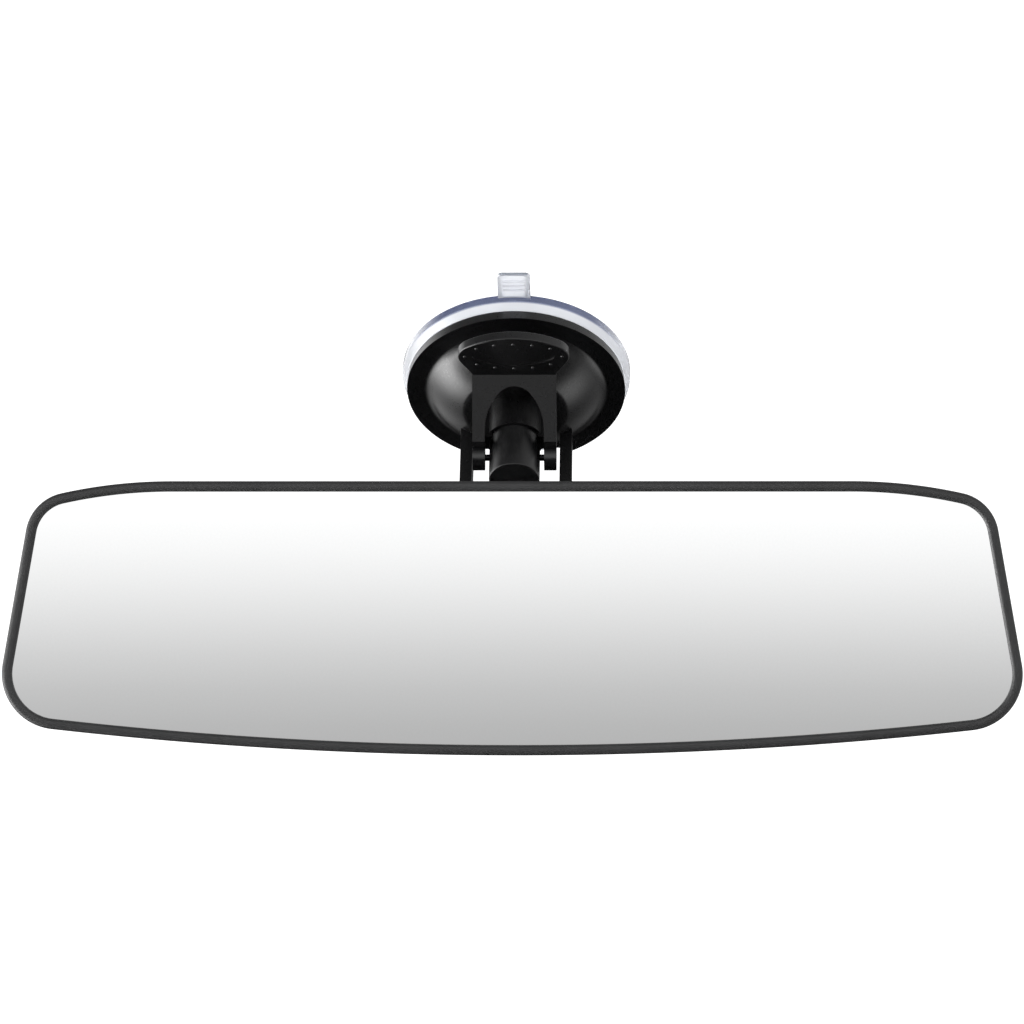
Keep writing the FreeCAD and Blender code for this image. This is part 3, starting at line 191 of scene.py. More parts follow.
# %% Glossy ABS
def polished_abs():
    """Black gloss with waviness of 14 mm and wear of 0.6 mm."""
    material, tree, place = blank("polished_black_abs")
    wave = add(tree, "ShaderNodeTexNoise", {"Vector": place}, {"Scale": 1000 / 14.0, "Detail": 1.0})
    wear = add(
        tree,
        "ShaderNodeTexNoise",
        {"Vector": place},
        {"Scale": 1000 / 0.6, "Detail": 4.0, "Roughness": 0.7},
    )
    tones = [(0.3, "#070708"), (0.75, "#0B0B0C")]
    colour = add(tree, "ShaderNodeValToRGB", {"Fac": wear}, stops=tones)
    rough = add(
        tree,
        "ShaderNodeMapRange",
        {"Value": wear},
        {"From Min": 0.3, "From Max": 0.75, "To Min": 0.26, "To Max": 0.36},
    )
    relief = add(tree, "ShaderNodeBump", {"Height": wave}, {"Strength": 1.0, "Distance": 0.05 * MM})
    shader = add(
        tree,
        "ShaderNodeBsdfPrincipled",
        {"Base Color": colour, "Roughness": rough, "Normal": relief},
        {"IOR": 1.54},
    )
    add(tree, "ShaderNodeOutputMaterial", {"Surface": shader})
    return material


finish["gloss_black_abs"] = polished_abs()
print("finish:", finish["gloss_black_abs"].name)

# %% [markdown]
# ** Clear PVC.** The suction pad is soft, clear PVC, slightly milky. It is almost white against a
# white wall. Its colour carries painted light: a painted violet-blue cast where one looks a long
# way through it, along the rim's straight edge on its upper half, and painted grey shade at the
# end of the pull tab, seen edge on. These places are found from the distance to the cup's axis and
# the height up the windscreen, after the coordinates are turned into the cup's frame.


# %% Clear PVC
def clear_pvc():
    """Milky plastic, painted blue cast where r is close to the rim on the upper half, painted grey
    shade at the tab's end.
    """
    material, tree, place = blank("moulded_clear_pvc")
    turn = add(
        tree,
        "ShaderNodeMapping",
        {"Vector": place},
        {"Rotation": (CUP_TILT, 0, 0)},
        vector_type="TEXTURE",
    )
    spot = add(tree, "ShaderNodeSeparateXYZ", {"Vector": turn})
    flat = add(tree, "ShaderNodeCombineXYZ", {"X": spot.outputs["X"], "Y": spot.outputs["Y"]})
    radius = add(tree, "ShaderNodeVectorMath", {0: flat}, operation="LENGTH").outputs["Value"]
    # Painted blue cast: the colour turns violet-blue along the rim's straight edge, where light
    # travels a long way through the plastic.
    rim = add(
        tree,
        "ShaderNodeMapRange",
        {"Value": radius},
        {"From Min": (PAD_RIM - 1.0) * MM, "From Max": (PAD_RIM + 1.0) * MM},
    )
    painted_blue_cast = add(
        tree,
        "ShaderNodeValToRGB",
        {"Fac": rim},
        stops=[
            (0.32, "#F8FAFF"),
            (0.45, "#7C84A6"),
            (0.5, "#5A6282"),
            (0.52, "#7C84A6"),
            (0.56, "#F8FAFF"),
        ],
    )
    # The painted blue cast is kept to the upper half of the rim.
    painted_cast_upper = add(
        tree,
        "ShaderNodeMapRange",
        {"Value": spot.outputs["Y"]},
        {"From Min": 10 * MM, "From Max": 27 * MM},
        interpolation_type="SMOOTHSTEP",
    )
    clear = {6: linear("#F8FAFF")}
    painted_cast_colour = add(tree, "ShaderNodeMix", {0: painted_cast_upper, 7: painted_blue_cast}, clear, data_type="RGBA").outputs[2]
    # Painted grey shade on the end of the pull tab, seen edge on.
    end = add(
        tree,
        "ShaderNodeMapRange",
        {"Value": spot.outputs["Y"]},
        {"From Min": (TAB_END - 0.35) * MM, "From Max": (TAB_END - 0.05) * MM},
    )
    tones = [(0.0, "#FFFFFF"), (1.0, "#9CA0A6")]
    painted_end_shade = add(tree, "ShaderNodeValToRGB", {"Fac": end}, stops=tones)
    colour = add(
        tree, "ShaderNodeMix", {6: painted_cast_colour, 7: painted_end_shade}, {0: 1.0}, data_type="RGBA", blend_type="MULTIPLY"
    ).outputs[2]
    bloom = add(tree, "ShaderNodeTexNoise", {"Vector": place}, {"Scale": 1000 / 4.0, "Detail": 3.0})
    rough = add(
        tree,
        "ShaderNodeMapRange",
        {"Value": bloom},
        {"From Min": 0.3, "From Max": 0.7, "To Min": 0.08, "To Max": 0.16},
    )
    depth = {"Strength": 1.0, "Distance": 0.02 * MM}
    relief = add(tree, "ShaderNodeBump", {"Height": bloom}, depth)
    shader = add(
        tree,
        "ShaderNodeBsdfPrincipled",
        {"Base Color": colour, "Roughness": rough, "Normal": relief},
        {"IOR": 1.53, "Transmission Weight": 0.6},
    )
    add(tree, "ShaderNodeOutputMaterial", {"Surface": shader})
    return material


finish["clear_pvc"] = clear_pvc()
print("finish:", finish["clear_pvc"].name)

# %% [markdown]
# **Silvered glass.** The back of the glass carries a silver coat under paint. From the front only
# the reflection counts: a flat, neutral mirror with a little dust.


# %% Silvered glass
def silvered_glass():
    """A metal with almost no roughness, and dust specks of 0.8 mm."""
    material, tree, place = blank("silvered_float_glass")
    dust = add(
        tree,
        "ShaderNodeTexNoise",
        {"Vector": place},
        {"Scale": 1000 / 0.8, "Detail": 4.0, "Roughness": 0.7},
    )
    tones = [(0.0, "#FCFCFC"), (1.0, "#F6F7F7")]
    colour = add(tree, "ShaderNodeValToRGB", {"Fac": dust}, stops=tones)
    rough = add(
        tree,
        "ShaderNodeMapRange",
        {"Value": dust},
        {"From Min": 0.62, "From Max": 0.9, "To Max": 0.03},
    )
    shader = add(
        tree,
        "ShaderNodeBsdfPrincipled",
        {"Base Color": colour, "Roughness": rough},
        {"Metallic": 1.0},
    )
    add(tree, "ShaderNodeOutputMaterial", {"Surface": shader})
    return material


finish["mirror_glass"] = silvered_glass()
print("finish:", finish["mirror_glass"].name)

# %% [markdown]
# **The rest.** Nylon, acetal, foam and the steels all vary in the same three ways, each at its
# own scale: flow marks in moulded nylon, drawing marks on spring wire, the crystals of a zinc
# coat. One function takes the numbers of each.


# %% Nylon, acetal, foam and steels
def mottled(name, size_mm, dark, light, low, high, depth_mm, even):
    """Colour from dark to light, roughness from low to high and relief, all from one noise."""
    material, tree, place = blank(name)
    grain = {"Scale": 1000 / size_mm, "Detail": 3.0}
    mark = add(tree, "ShaderNodeTexNoise", {"Vector": place}, grain)
    colour = add(tree, "ShaderNodeValToRGB", {"Fac": mark}, stops=[(0.3, dark), (0.7, light)])
    rough = add(
        tree,
        "ShaderNodeMapRange",
        {"Value": mark},
        {"From Min": 0.3, "From Max": 0.7, "To Min": low, "To Max": high},
    )
    depth = {"Strength": 1.0, "Distance": depth_mm * MM}
    relief = add(tree, "ShaderNodeBump", {"Height": mark}, depth)
    shader = add(
        tree,
        "ShaderNodeBsdfPrincipled",
        {"Base Color": colour, "Roughness": rough, "Normal": relief},
        even,
    )
    add(tree, "ShaderNodeOutputMaterial", {"Surface": shader})
    return material


# Columns: name, size of a mark in mm, dark, light, least and most roughness, relief in mm, kind.
DENSE, LIGHT, STEEL = {"IOR": 1.53}, {"IOR": 1.48}, {"Metallic": 1.0}
MOTTLED = {
    "black_nylon": ("moulded_black_nylon", 3.0, "#080809", "#0D0D0E", 0.3, 0.42, 0.03, DENSE),
    "liner_acetal": ("moulded_white_acetal", 2.0, "#E2E0DA", "#ECEAE4", 0.35, 0.45, 0.02, LIGHT),
    "pe_foam": ("closed_cell_grey_foam", 0.5, "#3A3A3C", "#4A4A4C", 0.85, 0.95, 0.15, LIGHT),
    "spring_steel": ("drawn_spring_steel", 0.7, "#7F7F82", "#9A9B9D", 0.22, 0.34, 0.01, STEEL),
    "zinc_steel": ("zinc_plated_steel", 1.6, "#A9ACB2", "#C2C5CA", 0.28, 0.42, 0.01, STEEL),
    "black_steel": ("black_oxide_steel", 0.8, "#1A1A1B", "#242425", 0.34, 0.46, 0.003, STEEL),
    "polished_steel": ("ground_ball_steel", 1.0, "#8C8D90", "#A2A3A6", 0.14, 0.22, 0.003, STEEL),
}
finish.update({slot: mottled(*row) for slot, row in MOTTLED.items()})
print("finishes:", len(finish))

# %% [markdown]
# A surface here is a grid of points, a function of two parameters. Neighbouring points become
# quads. The first direction closes on itself, as round an axis, and the second does so where the
# profile is a loop. Doubled points at seams and poles are merged afterwards, and the faces are
# turned outwards.

# %% Grids of points become meshes


def grid(points, loop=True):
    """Vertices and quads of an m x n grid: m closes on itself, and n does where it is a loop.

    Quad (i, j) joins points (i, j), (i+1, j), (i+1, j+1) and (i, j+1).
    """
    m, n = points.shape[:2]
    i, j = np.meshgrid(np.arange(m), np.arange(n if loop else n - 1), indexing="ij")
    i2, j2 = (i + 1) % m, (j + 1) % n
    quads = np.stack([i * n + j, i2 * n + j, i2 * n + j2, i * n + j2], axis=-1)
    return points.reshape(-1, 3), quads.reshape(-1, 4)


def join(parts):
    """Several (vertices, faces) pairs as one, with the face numbers moved on."""
    shift, vertices, faces = 0, [], []
    for points, quads in parts:
        vertices.append(points)
        faces.extend((quads + shift).tolist())
        shift += len(points)
    return np.concatenate(vertices), faces


def smooth(mesh, sharp):
    """Smooth shading that breaks at edges sharper than an angle in degrees."""
    mesh.shade_smooth()
    mesh.set_sharp_from_angle(angle=math.radians(sharp))


SAME_POINT = 1e-7


def make_piece(name, parts, body, nodes, slot, sharp=30.0):
    """A new piece from grids, riding on a body and standing for the named solids."""
    vertices, faces = join(parts)
    mesh = bpy.data.meshes.new(name)
    mesh.from_pydata(vertices.tolist(), [], faces)
    work = bmesh.new()
    work.from_mesh(mesh)
    bmesh.ops.remove_doubles(work, verts=work.verts, dist=SAME_POINT)
    bmesh.ops.dissolve_degenerate(work, edges=work.edges, dist=SAME_POINT)
    bmesh.ops.recalc_face_normals(work, faces=work.faces)
    work.to_mesh(mesh)
    work.free()
    smooth(mesh, sharp)
    piece = bpy.data.objects.new(name, mesh)
    bpy.context.scene.collection.objects.link(piece)
    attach(piece, body)
    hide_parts(*nodes)
    mesh.materials.append(finish[slot])
    print(name, len(mesh.vertices), "points")


print("a loop of 4 x 3 points has", len(grid(np.zeros((4, 3, 3)))[1]), "quads")

# %% [markdown]
# Many parts of the mirror are turned shapes: the pad, the stem, the ball stud. A drawn profile is
# swept round an axis. Real mouldings have no knife edges, so every corner of a profile gives way
# to a short curve.

# %% Profiles and turned shapes


def parabola(start, corner, end, s):
    """(1-s)^2 A + 2 s (1-s) P + s^2 B, which leaves A towards corner P and reaches B from it."""
    return (1 - s) ** 2 * start + 2 * s * (1 - s) * corner + s**2 * end


def soften(corners, steps=4):
    """A closed profile whose corners (x, y, cut) give way to parabolas.

    Each parabola leaves and reaches the sides at the cut's distance from its corner.
    """
    corners = np.array(corners, float)
    spots, cut = corners[:, :2], corners[:, 2:]
    back = np.roll(spots, 1, axis=0) - spots
    ahead = np.roll(spots, -1, axis=0) - spots
    start = spots + cut * back / np.linalg.norm(back, axis=1, keepdims=True)
    end = spots + cut * ahead / np.linalg.norm(ahead, axis=1, keepdims=True)
    s = np.linspace(0.0, 1.0, steps + 1)[None, :, None]
    return parabola(start[:, None], spots[:, None], end[:, None], s).reshape(-1, 2)


def arc(middle, radius, first, last, steps):
    """Points of a circle about a middle, from one angle in degrees to another."""
    t = np.radians(np.linspace(first, last, steps + 1))
    return np.stack([middle[0] + radius * np.cos(t), middle[1] + radius * np.sin(t)], axis=-1)


def turned(profile, steps=144):
    """A profile of (radius, height) swept round z: (r cos t, r sin t, h)."""
    t = np.linspace(0.0, 2 * math.pi, steps, endpoint=False)[:, None]
    radius, height = profile[:, 0][None, :], profile[:, 1][None, :]
    return np.stack([radius * np.cos(t), radius * np.sin(t), height + 0 * t], axis=-1)


square = [(0.0, 0.0, 0.1), (1.0, 0.0, 0.1), (1.0, 1.0, 0.1), (0.0, 1.0, 0.1)]
print("a softened square has", len(soften(square)), "points")

# %% [markdown]
# Some parts are forks, cranks and shells whose solids already have the right shape. A copy of
# such a solid is cleaned: its loose triangles are merged, flat areas become single faces, and
# edges that bend by more than 28 degrees are broken by a fine bevel, because a moulded edge
# always catches a thin line of light.

# %% Dressed copies of solids
BEND = 28.0
NEAR_POINT = 2e-6


def dress(node, body, slot, bevel, look=None):
    """A merged, smoothed copy of a solid with its edges broken, standing for that solid.

    The bevel is in mm. A look names another finish than the slot's own.
    """
    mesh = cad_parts[node].data.copy()
    mesh.name = node + "_moulded"
    mesh.materials.clear()
    mesh.materials.append(finish[look or slot])
    work = bmesh.new()
    work.from_mesh(mesh)
    bmesh.ops.remove_doubles(work, verts=work.verts, dist=NEAR_POINT)
    bmesh.ops.dissolve_limit(
        work, angle_limit=math.radians(0.6), verts=work.verts, edges=work.edges
    )
    work.to_mesh(mesh)
    work.free()
    smooth(mesh, BEND)
    piece = bpy.data.objects.new(node + "_moulded", mesh)
    bpy.context.scene.collection.objects.link(piece)
    if bevel:
        edge = piece.modifiers.new("broken_edges", "BEVEL")
        edge.width = bevel * MM
        edge.segments = 2
        edge.limit_method = "ANGLE"
        edge.angle_limit = math.radians(BEND)
        edge.use_clamp_overlap = True
    even = piece.modifiers.new("even_shading", "WEIGHTED_NORMAL")
    even.keep_sharp = True
    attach(piece, body)
    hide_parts(node)
    return piece


print("edges are broken where they bend by more than", BEND, "degrees")

# %% [markdown]
# **The head's outline.** Seen from the front the head is a long shape with a straight middle on
# top, drooping shoulders, leaning sides and a gently crowned lower edge. It is a chain of arcs,
# each running on into the next. Moved in by any amount, every arc keeps its centre, so a point
# and its outward direction describe all the parallel outlines at once.

# %% Outline of the head
HEAD_WIDTH, HEAD_HEIGHT = 300.0, 80.6
LEAN = math.radians(9.95)
TURN_WEIGHT, SIDE_FROM = 22.0, 120.0


def half_outline():
    """Dense points and outward angles of the right half, from the top's middle to the bottom's."""
    crown, foot, top, droop, flat = 1215.0, 16.5, 13.5, 150.0, 100.0
    out = np.array([math.cos(LEAN), math.sin(LEAN)])
    up = np.array([-math.sin(LEAN), math.cos(LEAN)])
    crown_c = np.array([0.0, crown - HEAD_HEIGHT / 2])
    foot_x = HEAD_WIDTH / 2 - foot
    foot_c = np.array([foot_x, crown_c[1] - math.sqrt((crown - foot) ** 2 - foot_x**2)])
    droop_c = np.array([flat, HEAD_HEIGHT / 2 - droop])
    off = out @ foot_c + foot - top - out @ droop_c
    top_c = droop_c + out * off + up * math.sqrt((droop - top) ** 2 - off**2)
    turn_1 = math.atan2(*(top_c - droop_c)[::-1])
    turn_2 = math.atan2(*(foot_c - crown_c)[::-1])
    quarter = math.pi / 2
    legs = [
        (np.array([0.0, HEAD_HEIGHT / 2]), 0.0, quarter, quarter, np.array([flat, 0.0])),
        (droop_c, droop, quarter, turn_1, 0.0),
        (top_c, top, turn_1, LEAN, 0.0),
        (top_c + out * top, 0.0, LEAN, LEAN, foot_c + out * foot - top_c - out * top),
        (foot_c, foot, LEAN, turn_2, 0.0),
        (crown_c, crown, turn_2, -quarter, 0.0),
    ]
    s = np.linspace(0.0, 1.0, 200)[:, None]
    angles = [a + (b - a) * s for _, _, a, b, _ in legs]
    spots = [
        c + r * np.concatenate([np.cos(t), np.sin(t)], axis=1) + s * run
        for (c, r, _, _, run), t in zip(legs, angles)
    ]
    return np.concatenate(spots), np.concatenate(angles)[:, 0]


def head_outline(count=92):
    """Points and outward directions all round, clockwise, with as many above the middle as below.

    Steps are even in (length + 22 mm x radians turned), so that the corners get their share. The
    middle is where the leaning side, beyond x = 120 mm, crosses y = 0.
    """
    spots, angles = half_outline()
    length = np.linalg.norm(np.diff(spots, axis=0), axis=1)
    step = length + TURN_WEIGHT * np.abs(np.diff(angles))
    along = np.concatenate([[0.0], np.cumsum(step)])
    side = spots[::-1, 0] > SIDE_FROM
    waist = np.interp(0.0, spots[::-1, 1][side], along[::-1][side])
    stops = np.concatenate(
        [np.linspace(0, waist, count + 1)[:-1], np.linspace(waist, along[-1], count + 1)]
    )
    x, y, t = (np.interp(stops, along, v) for v in (spots[:, 0], spots[:, 1], angles))
    right = np.stack([x, y, np.cos(t), np.sin(t)], axis=-1)
    left = right[-2:0:-1] * np.array([-1, 1, -1, 1])
    both = np.concatenate([right, left])
    return both[:, :2], both[:, 2:]


RIM, OUT = head_outline()
print("outline:", RIM.shape, "x from", RIM[:, 0].min(), "to", RIM[:, 0].max())


def carried(profile):
    """A profile of (inset, depth) carried round the outline: (rim - inset x outward, -depth)."""
    inset, depth = profile[:, 0], profile[:, 1]
    flat = RIM[:, None, :] - inset[None, :, None] * OUT[:, None, :]
    level = np.broadcast_to(-depth[None, :, None], (*flat.shape[:2], 1))
    return np.concatenate([flat, level], axis=-1)


# %% [markdown]
# **The frame.** A rounded band, 3.1 mm wide, wraps the edge of the glass. Its section is like a
# pillow: the photograph shows it lightest along its middle and darker towards both sides.

# %% Frame
FRAME_WIDTH, FRAME_WALL = 3.1, 1.6
FRAME_DEPTH, LIP_DEPTH = 6.5, 1.4
frame_section = soften(
    [
        (0.0, FRAME_DEPTH, 0.2),
        (0.0, 0.0, 1.55),
        (FRAME_WIDTH, 0.0, 1.2),
        (FRAME_WIDTH, LIP_DEPTH, 0.1),
        (FRAME_WALL, LIP_DEPTH, 0.05),
        (FRAME_WALL, FRAME_DEPTH, 0.2),
    ],
    steps=8,
)
make_piece(
    "head_frame",
    [grid(in_head(carried(frame_section)))],
    "head",
    ["front_frame"],
    "textured_black_abs",
)

# %% [markdown]
# **The glass.** A slab with ground edges. Its two faces are filled from the edge to a line along
# the middle, where the rows above and below meet point for point.

# %% Glass
FILL_ROWS, HALF_LINE = 6, 112.0


def filled(profile):
    """Carries an open profile round the outline and closes it at both ends on the middle line.

    A row at share k of the way in is (1-k) edge + k middle, with middle = (x, 0) and x the mean of
    the points above and below it.
    """
    ring = carried(profile)
    count = len(RIM)
    mate = (count // 2 - np.arange(count)) % count
    line_x = np.clip((ring[:, 0, 0] + ring[mate, 0, 0]) / 2, -HALF_LINE, HALF_LINE)
    middle = np.stack([line_x, np.zeros(count)], axis=-1)
    k = np.linspace(1.0, 0.0, FILL_ROWS + 1)[None, :-1, None]

    def face(row, k):
        """The rows that fill one face, from an end row of the profile."""
        flat = (1 - k) * row[..., :2] + k * middle[:, None]
        return np.concatenate([flat, np.repeat(row[..., 2:], FILL_ROWS, axis=1)], axis=-1)

    return np.concatenate([face(ring[:, :1], k), ring, face(ring[:, -1:], k[:, ::-1])], axis=1)


GLASS_INSET, GLASS_THICK, GLASS_BREAK = 1.9, 3.0, 0.3
front, back = LIP_DEPTH, LIP_DEPTH + GLASS_THICK
broken = GLASS_INSET + GLASS_BREAK
glass_edge = np.array(
    [
        (broken + 0.2, back),
        (broken, back),
        (GLASS_INSET, back - GLASS_BREAK),
        (GLASS_INSET, front + GLASS_BREAK),
        (broken, front),
        (broken + 0.2, front),
    ]
)
make_piece(
    "silvered_glass",
    [grid(in_head(filled(glass_edge)), loop=False)],
    "head",
    ["mirror_glass"],
    "mirror_glass",
    sharp=20.0,
)

# %% [markdown]
# ** The suction pad.** Its rim has a straight edge with a painted blue cast, a sloping ring that
# lies white beside the black cover, and a thin raised middle. Soft PVC leaves the mould with round
# corners.
# The stem's foot grips the middle and holds it off the windscreen, which is what makes the pad
# stick. When the lever opens, foot and middle go 2 mm towards the windscreen, so the middle is a
# piece of its own that rides on the stem. A low collar on the rest of the pad covers the wall
# that it slides along, where the real pad bends.

# %% Suction pad
PAD_BAND, PAD_TOP, WEB_TOP = 2.5, 5.0, 3.8
RING_OUT, RING_IN, WEB_OUT, LIP_RADIUS = 33.4, 29.2, 28.0, 27.0
HUB_RADIUS, HUB_LOW, HUB_TOP, HUB_MOUTH = 11.1, 2.3, 6.4, 7.8
POCKET_LOW, POCKET_TOP = 3.5, 5.2
MIDDLE_RADIUS, MIDDLE_GAP = 13.5, 0.06
COLLAR, COLLAR_WALL, COLLAR_TOP = MIDDLE_RADIUS + MIDDLE_GAP, 1.0, 5.8


def underside(radius):
    """Height of the sloping underside: a straight line from 0 at the lip up to the hub's."""
    return HUB_LOW * (LIP_RADIUS - radius) / (LIP_RADIUS - HUB_RADIUS)


rim_section = soften(
    [
        (LIP_RADIUS, 0.0, 0.3),
        (PAD_RIM, 0.0, 0.25),
        (PAD_RIM, PAD_BAND, 0.25),
        (RING_OUT, PAD_TOP, 0.3),
        (RING_IN, PAD_TOP, 0.3),
        (WEB_OUT, WEB_TOP, 0.3),
        (COLLAR + COLLAR_WALL, WEB_TOP, 0.3),
        (COLLAR + COLLAR_WALL - 0.1, COLLAR_TOP, 0.2),
        (COLLAR, COLLAR_TOP, 0.1),
        (COLLAR, underside(COLLAR), 0.05),
    ]
)
middle_section = soften(
    [
        (MIDDLE_RADIUS, underside(MIDDLE_RADIUS), 0.05),
        (MIDDLE_RADIUS, WEB_TOP, 0.3),
        (HUB_RADIUS + 1.2, POCKET_TOP, 0.3),
        (HUB_RADIUS, HUB_TOP, 0.3),
        (HUB_MOUTH, HUB_TOP, 0.1),
        (HUB_MOUTH, POCKET_TOP, 0.0),
        (HUB_RADIUS, POCKET_TOP, 0.0),
        (HUB_RADIUS, POCKET_LOW, 0.0),
        (0.0, POCKET_LOW, 0.0),
        (0.0, HUB_LOW, 0.0),
        (HUB_RADIUS, HUB_LOW, 1.0),
    ]
)
PAD_PIECES = [("pad", rim_section, "base"), ("pad_middle", middle_section, "stem")]
for name, section, body in PAD_PIECES:
    shape = [grid(in_cup(turned(section, 192)))]
    make_piece(name, shape, body, ["suction_pad"], "clear_pvc", sharp=40.0)


# %% [markdown]
# **The pull tab.** A thin flap on the upper edge, used to peel the pad off the windscreen. Its
# end corners are rounded and three low ribs cross it for grip.

# %% Pull tab


def slab(outline, low, high, edge):
    """A flat plate with softened rims: the outline is drawn in by the edge at top and bottom."""
    spots = np.asarray(outline, float)
    ahead = np.roll(spots, -1, axis=0) - np.roll(spots, 1, axis=0)
    inward = np.stack([-ahead[:, 1], ahead[:, 0]], axis=-1)
    inward /= np.linalg.norm(inward, axis=1, keepdims=True)
    centre = spots.mean(axis=0)
    rows = [
        (None, low),
        (edge, low),
        (0.0, low + edge),
        (0.0, high - edge),
        (edge, high),
        (None, high),
    ]
    made = []
    for draw, level in rows:
        flat = np.broadcast_to(centre, spots.shape) if draw is None else spots + draw * inward
        made.append(np.concatenate([flat, np.full((len(spots), 1), level)], axis=-1))
    return np.stack(made, axis=1)


TAB_HALF, TAB_THICK, TAB_ROOT, TAB_CORNER = 4.95, 1.2, 33.6, 1.5
RIB_HALF_SPAN, RIB_HALF, RIB_INSET, RIB_PITCH = 3.45, 0.35, 2.65, 1.93
RIB_CORNER, RIB_SINK, RIB_RISE, RIB_EDGE = 0.25, 0.05, 0.4, 0.12


def box(half, low, high, corner, steps=4):
    """A rectangle of (-half, low) to (half, high) whose corners at the low and high ends are cut.

    The corner values are the cuts at the low end and at the high end.
    """
    near, far = corner
    corners = [(-half, low, near), (half, low, near), (half, high, far), (-half, high, far)]
    return soften(corners, steps)


tab_edge = box(TAB_HALF, TAB_ROOT, TAB_END, (0.0, TAB_CORNER), steps=8)
step = np.linalg.norm(np.diff(tab_edge, axis=0, append=tab_edge[:1]), axis=1)
tab_edge = tab_edge[step > 1e-6]
rib_rows = [TAB_END - RIB_INSET - n * RIB_PITCH for n in range(3)]
ribs = [
    slab(
        box(RIB_HALF_SPAN, y - RIB_HALF, y + RIB_HALF, (RIB_CORNER, RIB_CORNER)),
        TAB_THICK - RIB_SINK,
        TAB_THICK + RIB_RISE,
        RIB_EDGE,
    )
    for y in rib_rows
]
make_piece(
    "pull_tab",
    [grid(in_cup(p), loop=False) for p in [slab(tab_edge, 0.0, TAB_THICK, 0.15), *ribs]],
    "base",
    ["suction_pad"],
    "clear_pvc",
    sharp=50.0,
)

# %% [markdown]
# **The foot of the dome.** On the real cover the dome runs into the flange through a hollow
# curve, which shows as a soft dark ring. The solid has a plain corner there, so a thin ring with
# a hollow front fills it. It runs tangent to the dome's ball and to the flange, its back lies
# inside the cover's wall, and it is cut straight where the flange has its notch.

# %% Hollow at the foot of the dome
DOME_RADIUS, DOME_MIDDLE, FLANGE_TOP = 36.0, -15.583, 8.1
HOLLOW_IN, HOLLOW_OUT, NOTCH, PROUD = 25.6, 28.2, 27.4, 0.01
rise = math.sqrt(DOME_RADIUS**2 - HOLLOW_IN**2)
dome_edge = DOME_MIDDLE + rise
corner = HOLLOW_IN + (dome_edge - FLANGE_TOP) * rise / HOLLOW_IN
hollow = parabola(
    np.array([HOLLOW_OUT, FLANGE_TOP + PROUD]),
    np.array([corner, FLANGE_TOP + PROUD]),
    np.array([HOLLOW_IN, dome_edge + PROUD]),
    np.linspace(0.0, 1.0, 13)[:, None],
)
hollow = np.concatenate([hollow, [(HOLLOW_IN, 9.0), (HOLLOW_OUT, FLANGE_TOP - 0.3)]])
hollow_ring = turned(hollow, 192)
hollow_ring[..., 1] = np.maximum(hollow_ring[..., 1], -NOTCH)
make_piece(
    "dome_foot",
    [grid(in_cup(hollow_ring))],
    "base",
    ["base_cover"],
    "gloss_black_abs",
    sharp=50.0,
)

# %% [markdown]
# **Stem and ball stud.** Turned parts: the hard stem that the lever pulls on, and the steel ball
# on its neck, with a collar that seats on the arm and a shank inside it.

# %% Stem
FOOT_RADIUS, FOOT_LOW, FOOT_TOP = 11.0, 3.6, 5.1
STEM_RADIUS, STEM_END = 7.7, 43.7
stem_section = soften(
    [
        (0.0, FOOT_LOW, 0.0),
        (FOOT_RADIUS, FOOT_LOW, 0.2),
        (FOOT_RADIUS, FOOT_TOP, 0.2),
        (STEM_RADIUS, FOOT_TOP, 0.2),
        (STEM_RADIUS, STEM_END, 0.45),
        (0.0, STEM_END, 0.0),
    ],
    steps=5,
)
make_piece("stem", [grid(in_cup(turned(stem_section)))], "stem", ["pad_stem"], "black_nylon")

# %% Ball stud
BALL_RADIUS, NECK_RADIUS = 7.0, 3.2
COLLAR_RADIUS, COLLAR_NEAR, COLLAR_FAR = 4.8, 13.0, 14.5
SHANK_RADIUS, SHANK_END = 2.5, 25.5
neck_z = math.sqrt(BALL_RADIUS**2 - NECK_RADIUS**2)
neck_angle = math.degrees(math.atan2(neck_z, NECK_RADIUS))
shank = soften(
    [
        (NECK_RADIUS, COLLAR_NEAR, 0.3),
        (COLLAR_RADIUS, COLLAR_NEAR, 0.2),
        (COLLAR_RADIUS, COLLAR_FAR, 0.2),
        (SHANK_RADIUS, COLLAR_FAR, 0.1),
        (SHANK_RADIUS, SHANK_END, 0.3),
        (0.0, SHANK_END, 0.0),
    ]
)
stud_section = np.concatenate([arc((0.0, 0.0), BALL_RADIUS, -90.0, neck_angle, 48), shank])
make_piece(
    "stud",
    [grid(in_stud(turned(stud_section, 96)), loop=False)],
    "arm",
    ["ball_stud"],
    "polished_steel",
)

# %% [markdown]
# The other parts keep the solids' shapes, and all but the two springs get broken edges. The
# columns are the solid, its body, its slot, the bevel in mm and, for the pin, a darker finish.

# %% Dressed solids
DRESSED = [
    ("base_cover", "base", "gloss_black_abs", 0.3),
    ("hinge_screw", "base", "zinc_steel", 0.15),
    ("hinge_nut", "base", "zinc_steel", 0.2),
    ("return_spring", "base", "spring_steel", 0.0),
    ("lever_pin", "stem", "polished_steel", 0.12, "black_steel"),
    ("lever", "lever", "gloss_black_abs", 0.35),
    ("mirror_arm", "arm", "black_nylon", 0.4),
    ("friction_washers", "arm", "black_nylon", 0.08),
    ("socket_liner_left", "liner_left", "liner_acetal", 0.08),
    ("socket_liner_right", "liner_right", "liner_acetal", 0.08),
    ("pressure_cup", "head", "liner_acetal", 0.1),
    ("disc_spring", "head", "spring_steel", 0.0),
    ("clamp_plate", "head", "zinc_steel", 0.12),
    ("clamp_screws", "head", "zinc_steel", 0.15),
    ("socket_housing", "head", "black_nylon", 0.25),
    ("rear_shell", "head", "textured_black_abs", 0.2),
    ("foam_pads", "head", "pe_foam", 0.2),
]
dressed = {row[0]: dress(*row) for row in DRESSED}
print({node: len(made.data.polygons) for node, made in dressed.items()})

# %% [markdown]
# **Camera.** The photograph was taken level, from straight in front and a little to the right,
# from about 1.4 m. The mirror fills the frame from side to side.

